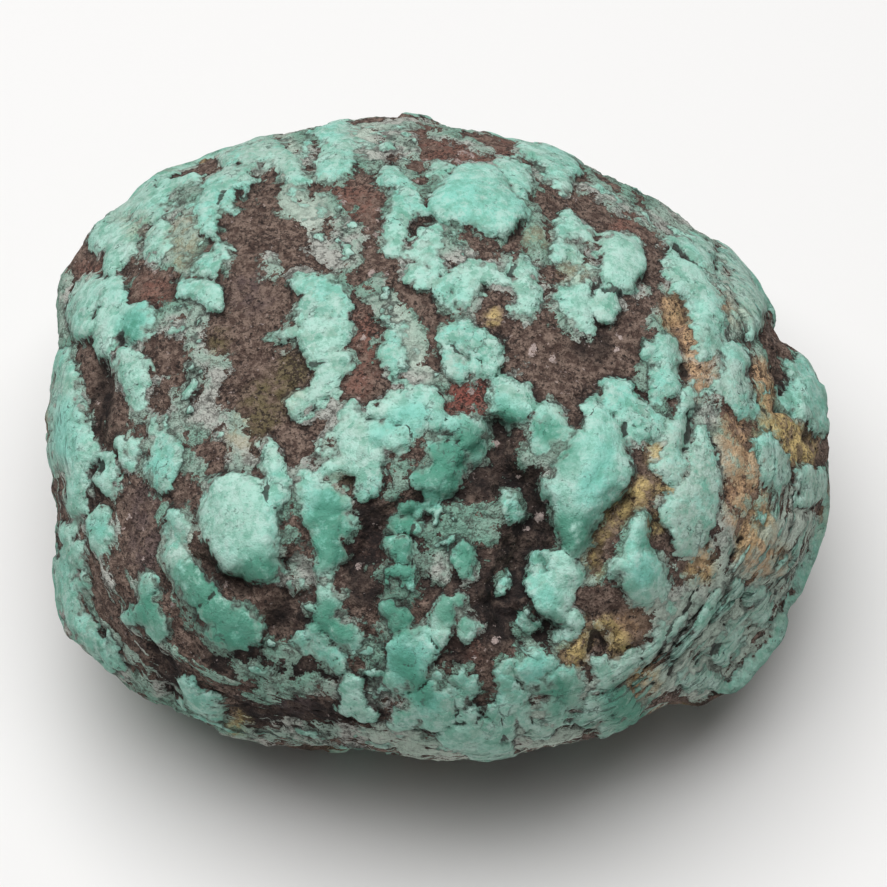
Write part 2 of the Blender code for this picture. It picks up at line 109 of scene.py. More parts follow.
def lumps_in(text):
    """A list of lumps, each a list of chains; an indented line goes on with the lump above it."""
    lumps = []
    for line in text.strip().split("\n"):
        if not line.startswith(" "):
            lumps.append([])
        lumps[-1] += chains_in(line)
    return lumps


def chain_depth(at, chains):
    """How far inside the nearest chain each place lies, in mm; negative outside."""
    depth = np.full(len(at), FAR)
    for chain in chains:
        for (x0, y0, r0), (x1, y1, r1) in zip(chain, chain[1:]):
            reach = max(r0, r1) - FAR
            near = np.flatnonzero(
                (at[:, 0] > min(x0, x1) - reach) & (at[:, 0] < max(x0, x1) + reach)
                & (at[:, 1] > min(y0, y1) - reach) & (at[:, 1] < max(y0, y1) + reach))
            run = np.array((x1 - x0, y1 - y0))
            offset = at[near] - (x0, y0)
            along = np.clip(offset @ run / max(run @ run, 1e-9), 0, 1)
            gap = np.linalg.norm(offset - along[:, None] * run, axis=1)
            depth[near] = np.maximum(depth[near], r0 + (r1 - r0) * along - gap)
    return depth


def two_depths(at, lumps):
    """How deep each place lies inside its nearest lump, and inside the next nearest."""
    nearest = next_nearest = np.full(len(at), FAR)
    for chains in lumps:
        depth = chain_depth(at, chains)
        next_nearest = np.maximum(next_nearest, np.minimum(nearest, depth))
        nearest = np.maximum(nearest, depth)
    return nearest, next_nearest


def smooth_step(low, high, value):
    """0 at low, 1 at high and beyond it, smooth between; low may be the larger of the two."""
    part = np.clip((value - low) / (high - low), 0, 1)
    return part * part * (3 - 2 * part)


bead = [[(0, 0, 1)] * 2]
print("depth inside a bead of 1 mm, 0.4 mm off its middle:", chain_depth(np.array([[0.4, 0]]), bead))

# %% [markdown]
# ## The outline and the smooth form
# The outline is what the eye checks first on a stone, so it is placed point by point, bays and all.
# The form behind it is simple: in any direction from the middle, the section is a rounded arch.
# Only a narrow band near the rim follows the small bays; further round, a blurred outline takes over,
# so that the bays don't run on as flutes down the sides.

# %% Outline and form
OUTLINE = [
    (-25.1, 11), (-24.3, 12.2), (-23.3, 13.8), (-22.4, 14.6), (-20.7, 15.4), (-19, 17), (-18, 17.45),
    (-16, 18), (-14, 19), (-12, 19.65), (-10, 20.1), (-7, 20.9), (-4, 21.45), (-2, 21.25), (0, 20.5),
    (2, 19.9), (4, 19.2), (6, 19.35), (7, 19.3), (9, 18.4), (11, 17.2), (13, 16.5), (15, 15.45),
    (17, 13.8), (19, 12.7), (20, 11.6), (21, 10), (21.9, 7.8), (22, 7.2), (22.5, 6.6), (23.8, 5.9),
    (25, 4.3), (25.6, 3.2), (25.95, 1), (26, -3), (25.5, -5), (24.9, -7), (23.8, -10), (22.6, -13.2),
    (21.8, -14.3), (20.3, -16), (18.2, -17.6), (17.2, -18.1), (15, -18.2), (13.7, -18.1), (12, -19.6),
    (10.5, -20.1), (9, -20.3), (7, -20.1), (5, -20.8), (3, -21.25), (1, -21.15), (-1, -21.25),
    (-3, -20.6), (-6, -20.35), (-8, -20.9), (-11, -21), (-14, -20.3), (-16, -19.2), (-18, -18.2),
    (-19.8, -17.6), (-21.5, -16.3), (-22.7, -15), (-25, -13.3), (-25.5, -11.3), (-25.7, -6),
    (-25.4, -3.2), (-26.1, -1), (-26, 1), (-25.7, 4), (-25.15, 6), (-25.5, 8.5), (-25.4, 10),
]
SWELLS = [  # broad swells and hollows of the face: across, up, reach, height
    (-12, 9, 9, 0.7), (3, 15, 6, 0.8), (10, 9, 6, 0.4), (9.5, -2.5, 4.5, 1.2), (3, -16, 6.5, 1.5),
    (-13, -6, 4.5, 0.9), (17, 7, 4.5, 0.7), (20, 1, 5, 0.5), (16.5, -3.5, 3, 0.6), (13.3, -8.5, 3, 0.8),
    (-21, 7, 4, 0.5), (-3, 0, 4, 0.5), (-15, -12, 5, 0.5), (4, -7, 4, -1.1), (10, 5, 4, -0.6),
    (-6, -6, 3, -0.5), (-20, -5, 4, -0.7), (-17, 1, 3.5, -0.6), (19, -12.5, 5.5, -1.5),
    (-10, -17, 5, -0.9), (11.5, -13.5, 2.5, -0.6), (-10, 3, 5, -0.4), (-9, 14, 4, -0.4),
]


def outline_radius(bearing, blur):
    """Distance from the middle to the outline in a direction, averaged over a blur in radians."""
    points = np.array(OUTLINE)
    bearings = np.arctan2(points[:, 1], points[:, 0])
    order = np.argsort(bearings)
    reach = np.hypot(points[:, 0], points[:, 1])
    shifts = np.linspace(-blur, blur, BLUR_STEPS)
    return sum(
        np.interp(bearing + turn, bearings[order], reach[order], period=2 * math.pi)
        for turn in shifts) / BLUR_STEPS


def to_world(at, out):
    """From across, up and out of the face to X, Y and Z, with the spread of a near view undone."""
    spread = 1 - out / SIGHT
    across, up = at[:, 0] * spread, at[:, 1] * spread
    rise, lie = math.sin(FACE_RISE), math.cos(FACE_RISE)
    return np.column_stack((across, up * rise - out * lie, up * lie + out * rise))


def smooth_form(unit):
    """Places across and up, and the world point of the smooth stone, for points on the unit ball."""
    ring = np.hypot(unit[:, 0], unit[:, 1])
    swell = (ring ** ROUNDNESS + np.abs(unit[:, 2]) ** ROUNDNESS) ** (-1 / ROUNDNESS)
    bearing = np.arctan2(unit[:, 1], unit[:, 0])
    at_rim = np.exp(-(unit[:, 2] / RIM_BAND) ** 2)
    radius = outline_radius(bearing, SHARP) * at_rim + outline_radius(bearing, BLURRED) * (1 - at_rim)
    reach = swell * ring * radius
    at = np.column_stack((reach * np.cos(bearing), reach * np.sin(bearing)))
    out = swell * unit[:, 2] * np.where(unit[:, 2] > 0, FRONT_BULGE, BACK_BULGE) + LEAN * at[:, 1]
    return at, to_world(at, out)


print("widest across, mm:", round(max(x for x, _ in OUTLINE) - min(x for x, _ in OUTLINE), 1))

# %% [markdown]
# ## A ball of fine quads
# A stone has no natural seams, so the skin starts as one closed ball. A cube whose edges are cut many
# times and then blown up to a ball has near-square cells everywhere and no poles, which a globe
# would have. The cells are then drawn together on the best face, where there is most to see.

# %% The ball
CUTS = 126            # cuts along each edge of the cube
FACE_CROWDING = 0.36  # how much closer the cells lie on the best face


def mesh_values(mesh, kind):
    """The place or the normal of every vertex, as rows of three."""
    values = np.empty(len(mesh.vertices) * 3)
    mesh.vertices.foreach_get(kind, values)
    return values.reshape(-1, 3)


ball = bmesh.new()
bmesh.ops.create_cube(ball, size=2)
bmesh.ops.subdivide_edges(ball, edges=ball.edges[:], cuts=CUTS, use_grid_fill=True)
skin = bpy.data.meshes.new("nugget_skin")
ball.to_mesh(skin)
ball.free()
even = np.tan(mesh_values(skin, "co") * math.pi / 4)
even /= np.linalg.norm(even, axis=1)[:, None]
polar = np.arccos(np.clip(even[:, 2], -1, 1))
closer = polar - FACE_CROWDING * np.sin(polar)
ring = np.maximum(np.hypot(even[:, 0], even[:, 1]), 1e-9)
unit = np.column_stack((even[:, :2] / ring[:, None] * np.sin(closer)[:, None], np.cos(closer)))
at, form = smooth_form(unit)
skin.vertices.foreach_set("co", form.ravel())
skin.update()
normals = mesh_values(skin, "normal")
print("cells in the skin:", len(skin.polygons))

# %% [markdown]
# ## The lumps of turquoise
# Now the drawing itself, lump by lump, from the upper edge down. The beads of a chain overlap, so
# a chain reads as one worn blob with a wavy side. Chains on one line belong to one lump.
# The highest lumps come first: they are the ones that catch the light from a step away.

# %% High lumps
HIGH = lumps_in("""
round boss: -13.6,-4.4,1.8 -12.7,-5,1.7 -12.6,-6.6,1.8 -12.9,-7.4,1.6 -12,-8.2,1.4
  -13.8,-5.9,1.8 -12.9,-7.4,1.6
diagonal slab: 10.8,1.2,.7 10.5,.6,.85 10.2,-.8,1.1 9.8,-2,1.3 9.4,-3.2,1.3 9.3,-4.4,1.3 8.7,-5.4,1
  8.7,-5.4,1 8.9,-6.3,.9 9.1,-7,.7 8.9,-7.7,.45
  slab's right half: 11.2,.3,.9 11.4,-.8,1 11.3,-2,1.2 10.9,-3.1,1.2 10.2,-4.3,.9 9.7,-5.3,.9
  slab's left corner: 7.4,-3.6,.5 8.2,-3.8,.9 9.3,-4.4,1.2
  9.4,-.6,.8 8.8,-2,1 8.5,-3.3,1.1 8.6,-4.6,1 8.8,-5.8,.8
crown: .6,15.2,1.2 1.8,16,1.3 3.2,16.2,1.2 ; 1,15.1,1.1 2.4,15,1.1 3.6,15.2,1
  3,14.5,.8 4,14.3,.9 4.9,14.7,.6
  its tail: 4,15.2,.9 4,14.2,.8 4.2,13.6,.5
lower right lump: 13.3,-5.6,.4 13.1,-6.2,.6 13.1,-7,.75 13,-7.7,.8 13.3,-8.6,1.3 13.5,-9.3,1.45 13.9,-10,1.1
  its side: 12,-8.8,.5 12.7,-8.9,.9 13.5,-9.3,1.2 14.2,-9,.8
tall lump: 11.5,12.6,.75 12.6,12.4,.75 12.4,11.1,.9 11.9,11.8,1 11.4,10.6,.7 12.2,10.2,.7 11.7,9.8,.4
""")

# %% Lumps of the upper part
UPPER = lumps_in("""
rim slab: -20.4,15.1,.5 -19.4,15.3,.9 -18.6,16.1,.9 -17.8,16.9,.6 -17.1,17.3,.35
shoulder: -22.5,13.5,.8 -21.4,13.4,1 -20.9,13.9,.7 ; -21.4,13,.9 -21,12.5,.8 -21.6,11.9,.6 -21.8,11.3,.4
shoulder's side: -18.4,14,.35 -18.6,13.3,.55 -18.9,12.6,.5 ; -18.6,13.2,.5 -18.3,12.7,.4
boot: -13,17.1,.5 -14.1,17,.65 -15.1,16.2,.85 -15.4,15.3,.65 -15.2,14.3,.45 -15.3,13.7,.3
  -14.6,16.3,.5 -14.3,15.8,.5 -14,15.4,.35
crumbs: -14.5,12.4,.4 ; -15.6,11.2,.3 -15,11.4,.5 -14.7,11.7,.3
rim band: -14.3,18.3,.3 -13.3,18.5,.45 -12.3,18.7,.55 -11.3,18.8,.6 -10.6,18.5,.5 -9.9,18.1,.6 -9.6,17.6,.6
  -9.6,17.6,.6 -9.8,17.1,.45
top lump: -6.2,20.3,.7 -6.5,19.2,.9 -7,18.3,.9 -7.4,17.7,.5 ; -6.3,19.6,.7 -5.9,19.6,.5
post: -3.3,17.2,.6 -2.7,16.8,.5 -2.3,16.2,.5 -1.9,15.6,.6 -1.4,15.3,.45
  -2.5,15.6,.6 -2.8,14.6,.75 -2.9,13.6,.7 -2.9,12.8,.55 -2.9,12.4,.35
beads by the post: -1,13.1,.3 -.2,12.9,.4 ; -1.3,12.5,.45 -.6,12.2,.6 -.3,11.5,.4
  -1.6,10.8,.4 -1,10.7,.6 -.3,10.9,.5
by the crown: -.2,17.5,.4 .5,17.3,.4 ; 4.2,17.6,.45 5,17.2,.7 5.5,16.6,.6 5.4,16,.4
top right: 5.8,19.2,.2 7,18.9,.5 8,18.5,.5 8.8,18.2,.3 ; 7.3,18.2,.4 7.6,17.8,.6 8,17.3,.55 8.2,16.8,.35
wedge: 8.4,14.4,.45 8.9,13.9,.6 9.5,13.5,.45 ; 8.2,14,.3 8.1,13.3,.2 8.1,12.9,.2
wedge's foot: 7.9,12.4,.35 8.3,12.2,.45 8.7,12,.3
tall lump's foot: 10.5,9.2,.4 10.8,8.9,.6 11,8.5,.6 11.4,8.3,.4 ; 11.5,9.4,.45 11,8.7,.6
cap: .9,10.4,.5 1.6,10.7,.6 2.4,10.7,.6 3.3,10.6,.6 4.2,10.4,.45 ; 1.8,10.2,.6 1.7,9.6,.55 1.5,9.2,.45
  .3,10,.45 .3,9.4,.45 .6,8.8,.35
pear: 5.3,11.1,.5 5.8,10.6,.5 5.8,9.8,.75 5.9,9.2,.75 5.4,8.7,.45 ; 5.8,8.5,.3
blade: 8.5,9.3,.45 9.2,9.6,.55 9,8.9,.7 9.2,8.2,.7 9.5,7.6,.5 9.9,7.2,.3
long right: 15.5,10.9,.5 16.4,11,.55 17.2,10.6,.6
  16.2,10,.8 17,9.7,.9 17.5,8.8,.9 17.6,7.8,.85 17.9,7,.7 17.9,6.2,.6 17.6,5.5,.35 ; 15.3,11.9,.35
right rim: 18.4,12.8,.35 19,12.2,.6 19.6,11.4,.7 20.1,10.7,.6 20.4,9.8,.6 20.7,9,.7 20.7,8.2,.65 20.6,7.5,.5
  20.6,7.5,.5 20.9,6.9,.35
right rim's inner band: 15.6,12.9,.35 16.6,12.7,.4 17.1,12.2,.45 17.6,11.5,.35
""")

# %% Lumps of the left side
LEFT = lumps_in("""
left lobes: -23,9.5,.9 -22,9.3,.8 -21.5,9.8,.6 -21.2,9,.5 ; -23.5,8.9,.8 -23.7,8.2,.8 -23.6,7.4,.75
  -23.2,7.3,.5
second lobes: -21.9,7.9,.5 -21.5,7.3,.75 -21.9,6.5,.7 -22.1,5.7,.5 -21.8,5.2,.35
blue lobes: -20.9,8.2,.45 -20.3,7.9,.6 -19.7,7.7,.7 -20.1,7.1,.75 -19.6,6.9,.45
hanging lobes: -20.6,5.4,.45 -20.3,4.8,.65 -20.6,4.3,.55 -20.2,3.7,.7 -19.9,3,.65 -19.9,2.3,.45 -20,1.9,.3
left rim: -25,5.3,.35 -25,4.5,.6 -25,3.5,.7 -25,2.5,.7 -25,1.5,.8 -24.8,.5,.9 -25,-.6,.9 -24.9,-1.6,.9
  -24.9,-1.6,.9 -24.4,-2.5,.6 -24.4,-3.3,.5 -24.6,-4,.45 -24.6,-4.8,.35
  left rim's inner side: -24.2,0,.7 -24.1,-1,.7
bow: -16.9,9.7,.35 -16.3,10,.35 -16,9.6,.4 ; -15.6,10.2,.25 -15.2,9.8,.4 -15.2,9.1,.45 -14.7,8.7,.3
left slab: -9.2,10.3,.5 -8.6,10.1,.5 -7.9,9.6,.8 -7.9,8.6,1 -8.2,7.6,1 -8.2,6.6,.9 -8.2,5.9,.55
  left slab's right half: -7.9,9.6,.8 -7.1,9.3,.7 -7,8.3,.9 -7.1,7.3,1 -7.3,6.3,.85 -7.3,5.5,.6
  -9.3,7.6,.35 -8.8,7.4,.5
left slab's tail: -6.4,5.1,.5 -7,5.2,.6 -7.8,5,.55 -7.3,4.3,.65 -7.7,3.6,.6 -7.6,2.9,.6 -8.2,2.6,.6
  -8.2,2.6,.6 -8.9,2.4,.6 -9.4,2.1,.5 -9.3,1.7,.4
tail's crumbs: -8.8,1.5,.35 -8.9,1.1,.25 ; -7.9,2.2,.35 ; -10.6,6.6,.2 -10.2,6.9,.35 -9.6,7,.3
boss's thumb: -11.2,-1.2,.5 -11.1,-2,.7 -10.9,-2.8,.7 -11,-3.6,.7 -11.3,-4.2,.7
small pair: -18.8,-.9,.45 -18.6,-1.6,.8 -18.5,-2.3,.75 -18.5,-3,.5 ; -17.9,-1.1,.5 -17.8,-1.8,.5
left small: -22.8,-1.3,.35 -22.4,-1.8,.5 -22.3,-2.5,.55 -22.5,-2.9,.5 -22.3,-3.3,.45
oval: -23,-5.1,.35 -23.1,-5.8,.7 -22.9,-6.4,.7 -22.9,-7.1,.55 -22.8,-7.5,.3
drips: -21.2,-.3,.3 -21.1,-.9,.3 -20.9,-1.5,.28 -20.7,-1.9,.2 ; -20.4,-.4,.3 -20.4,-.8,.25
low rim: -25.2,-6.3,.35 ; -24.7,-7.4,.45 -24.6,-8.2,.45
  -25.3,-8.6,.4 -25.1,-9.4,.5 -24.8,-10,.5 -24.9,-10.7,.5 -24.7,-11.5,.55
  low rim's end: -24.7,-11.5,.55 -24.3,-12.5,.5 -23.7,-13.3,.5 -23,-14,.5 -22.4,-14.6,.45 -21.9,-15.2,.35
curved band: -17.4,-5.3,.45 -17.5,-6.2,.45 -17.6,-7.2,.45 -17.4,-8,.5 -17.2,-8.8,.55 -16.8,-9.5,.6
  -16.8,-9.5,.6 -16.4,-10.1,.65 -15.7,-10.7,.75
green arc: -15.4,-11.2,.8 -14.6,-11.7,.9 -14.2,-12.6,.9 -13.4,-12.4,.9 -12.5,-12.9,.8
  -14.8,-13.2,.6 -13.2,-13.4,.7
fork: -19.5,-9.8,.35 -19.5,-10.5,.55 -19.5,-11.3,.65 -19.2,-12.1,.65 -18.9,-12.8,.6
  -20,-11.6,.4 -20.4,-12,.45 -20.8,-12.1,.35
""")

# %% Lumps of the middle
CENTRE = lumps_in("""
thumb: 1.5,7,.6 1.6,6.3,.9 2.5,6.1,.75 3.1,5.6,.75 3.4,5,.6 3.3,4.5,.5 ; .8,6.6,.5 ; 2.6,5.4,.6
thumb's dull side: .7,5.6,.5 .9,4.8,.6 1.4,4.3,.4 ; 2.3,4.5,.35
right of the red: 4.1,3.4,.5 4.6,3.1,.7 5.2,2.7,.8 5.6,2.1,.7 ; 3.9,2.6,.5 4.5,2.4,.8 4.5,1.7,.8 5.2,1.7,.7
  4.7,1.2,.5
next to it: 6.9,1.8,.35 7.3,1.4,.55 7,.8,.6 6.9,.1,.65 6.7,-.5,.5 ; 7.7,1,.5 7.7,.3,.5
under the red: 1,.8,.45 1.8,.5,.6 2.5,.5,.5 ; 1.7,.2,.7 2.1,-.4,.65 2.4,-1,.5 2.5,-1.4,.35
little triangle: 9.8,2.1,.35 10,1.7,.25 ; 10.2,2.2,.2
knuckle: 11.6,3.1,.55 12.2,3.1,.45 ; 11.7,2.4,.7 12.4,2.1,.7 12.7,1.4,.9 13.4,1.1,.9 14.1,.9,.8 14.5,.6,.5
  13,.3,.7 13.8,.3,.7
slab's foot: 6.8,-8.4,.6 7.6,-8.6,.8 8.5,-8.8,.8 9,-9.2,.5 ; 6.9,-9.4,.9 8.1,-9.6,.9
  6.6,-10,.6 7.5,-10.4,1 8.2,-10.8,.7 ; 7.3,-11.2,.7 7.8,-11.6,.6
hook: -2.7,6.1,.3 -3.2,5.8,.45 -3.2,5,.5 -3,4.5,.35 ; -2.4,5.5,.35
centre: -2.7,2.6,.6 -2,2.6,.6 -1.2,2.5,.7 -.4,2.2,.6
  -4.3,1.6,.45 -3.4,1.8,.7 -2.4,1.8,.8 -1.4,1.6,.9 -.5,1.3,.8 ; -1.8,.8,.8
centre left: -5.9,1.5,.55 -6.1,.7,.6 -6.4,.2,.5 ; -5.8,-.1,.8 -4.7,.1,.9 -3.5,-.2,.7 -2.5,.1,.5
  -5.3,-1,1 -4.4,-1.2,.7
  centre left's foot: -7.5,-2.2,.3 -7,-2,.4 -6.2,-1.8,.6 -5,-2,.7 ; -4.5,-2.6,.6 -4.8,-3.3,.6 -5.3,-3.9,.45
tongue: -8.6,-2.9,.5 -8.5,-3.6,.6 -8,-4.4,.9 -7.2,-4.6,.9 -6.5,-4.6,.6 ; -8.2,-5.2,.7 -7.4,-5.4,.7
  tongue's tip: -6.8,-5.6,.8 -7.2,-6.4,.9 -7.5,-7.1,.85 -7.3,-7.8,.8 -7.6,-8.5,.6
cracked pillar: -2.1,-4.7,.28 -1.5,-4.9,.2 ; -2.8,-5.8,.5 -2,-5.9,.55
  -3.1,-7.3,.5 -2.4,-7.3,.65 -2.5,-7.9,.6
pillar's foot: -3,-8.8,.3 -2.4,-8.8,.35
green centre: -1.3,-3,.5 -.6,-2.9,.8 .2,-3,.9 ; -.2,-3.5,.8 ; .2,-1,.9 .9,-1.5,.8 1.2,-2.2,.6 .5,-2.4,1
crumbs in the valley: 1.6,-7.6,.4 1.6,-8.3,.5 1.7,-8.9,.3 ; 4.7,-4.2,.3 4.8,-4.8,.45 4.9,-5.3,.4
  4.3,-9.6,.2 4.3,-10.1,.26
strip: 16.5,3,.25 16.3,2.2,.35 16.1,1.4,.45 15.9,.5,.55 15.8,-.5,.65 15.6,-1.3,.75 15.3,-2,.85 15.6,-2.5,.6
  16.1,-1.9,.6 ; 14.9,-2.3,.45
flank lump: 17.2,.3,.2 17.5,-.7,.4 17.6,-1.6,.6 17.6,-2.2,.75 17.3,-3.2,1 17.4,-4.4,1 17.4,-5.5,.9
  17.4,-5.5,.9 17.4,-6.3,.6 ; 16.6,-3.7,.8 16.4,-4.6,.9 15.6,-4.4,.6
  flank lump's foot: 16.4,-5.7,.9 16.6,-7,.7 ; 15.4,-4.8,.7 16.4,-5.2,1.1
right chain: 13.7,5.6,.3 14.4,5.8,.4 15.1,6.1,.5 15,5.3,.7 15,4.5,.75 15.1,3.7,.7 14.8,3.2,.6 14.5,2.8,.4
""")

# %% Lumps of the right side and the foot
RIGHT = lumps_in("""
by the right groove: 19.4,5.4,.45 19.6,4.7,.6 19.4,4,.7 19.5,3.2,.75 19.7,2.5,.6 20,1.9,.45 20.3,1.5,.3
  18.5,3.7,.35 18.8,3.1,.4
right knob: 24,5,.3 24.5,4.2,.5 24.4,3.4,.7 24.2,2.6,.65 24.7,2,.65 ; 25.1,3,.5 25.2,1.5,.45 25.3,.6,.4
flank streaks: 13.5,-14.9,.3 14.9,-13.5,.3 16.1,-12.3,.25 ; 18.2,-12.7,.5 18.7,-10.9,.5
  16.1,-14.9,.3 17.8,-13.5,.3 ; 19.6,-15.4,.5 20.9,-13.8,.4 ; 16.9,-17.1,.4 18.7,-16.8,.3
  22.3,-11.1,.35 22.4,-12.7,.3 ; 20.4,-10.2,.3 20.8,-10.9,.3
flank bits: 21.6,-.6,.55 22.3,-1.6,.6 22.4,-2.5,.75 22.7,-3,.4 ; 24.6,-2.8,.55 25.2,-3.4,.65 24.6,-4,.45
  25.4,-2.6,.35
""")
FOOT = lumps_in("""
paw: -7.5,-10.4,.35 -7.4,-11.3,.42 -7.6,-12.1,.52 -7,-12.8,.6 -6.5,-13.2,.65 -5.9,-13.3,.5 ; -9.2,-13.7,.35
paw's heel: -8.3,-13.2,.4 -7.8,-14,.6 -8,-14.5,.35 ; -7.3,-14.4,.35 -6.8,-15.1,.3
bottom centre: -3.4,-11.4,.35 ; -2.6,-12.1,.5
  -2.2,-13.3,.6 -2.6,-14,.8 -2.3,-14.8,.9 -2.5,-15.6,.8 -2.9,-16.2,.6
  its right half: -1.8,-14.2,.9 -1,-14.2,.7 -.6,-14,.45 ; -1.8,-15.8,.8 -1.4,-16.4,.6
lowest lump: -.7,-17,.8 -1.4,-17.7,.8 -.6,-18.4,.9 ; -2.2,-18.6,.65 -2.6,-19.2,.45 ; .2,-17.4,.8 .3,-18.3,.9
left of it: -6,-16.5,.55 -5.6,-17.2,.6 -5.8,-17.9,.6 -5.3,-18.5,.55 -4.8,-18.5,.45 ; -6.4,-18.3,.3
leaf: -17.1,-16.7,.35 -16.6,-17.4,.6 -16.1,-18,.7 -15.6,-18.3,.55 -15.3,-18.7,.35
speckled: 1,-10.9,.3 .4,-11.2,.6 .1,-12,.6 .5,-12.3,.3 ; 0,-12.9,.6 -.3,-13.6,.4
  1.9,-12.5,.45 1.6,-13.1,.4
outlined grains: 1.5,-16.1,.45 ; 2.1,-16.7,.5 ; 1.2,-17.4,.28 ; 1.3,-18.5,.42 ; 2,-18.4,.38
bulge: .8,-19.4,.8 1.8,-19.4,.8 2.9,-19.3,.9 3.6,-18.9,.8 3.4,-18.4,.5
  2.4,-20.3,.65 3.4,-20.2,.65 4.4,-20.3,.45
bulge's top: 4.6,-15.4,.3 4.6,-16.2,.6 4.9,-16.9,.7 4.6,-17.5,.6 4.3,-18.2,.6 4.1,-19,.6
  5.2,-17.9,.5 5.7,-18.5,.45
bright pair: 5.5,-15.6,.5 6.4,-15.3,.65 6.9,-15.1,.6 ; 6.3,-14.6,.45
grey green: 7.4,-16.4,.5 8,-16.2,.75 8.7,-16.3,.55 ; 8.2,-17,.8 8.8,-17.3,.6 ; 7.9,-17.9,.5 7.5,-18.5,.5
  6.4,-18.9,.45 6.9,-19.2,.3
crumbs: 5.7,-11.8,.2 5.8,-12.4,.38 ; 6.4,-12.5,.15 ; 8.9,-12.1,.4 8.7,-12.7,.45 8.2,-13.2,.35
under the arch: 10.8,-15.3,.45 11.2,-16.1,.65 11.8,-16,.5 12.4,-15.4,.55 13,-15,.55
lower right: 9.8,-18.6,.45 10.4,-18.2,.65 11.4,-17.9,.8 12.2,-17.9,.8 12.7,-18.3,.6
  11.5,-18.9,.45 12,-19.2,.3 ; 11,-19.6,.35
""")
MIDDLE = UPPER + LEFT + CENTRE + RIGHT + FOOT
print("lumps of clean turquoise:", len(HIGH) + len(MIDDLE))

# %% [markdown]
# ## Half-bleached turquoise
# Between the clean lumps and the rock lies turquoise that has lost its colour or is mixed with
# rock: pale grey-green, speckled, and hardly raised. It is drawn the same way but kept apart, because
# its edge crumbles where a clean lump's edge is sharp.

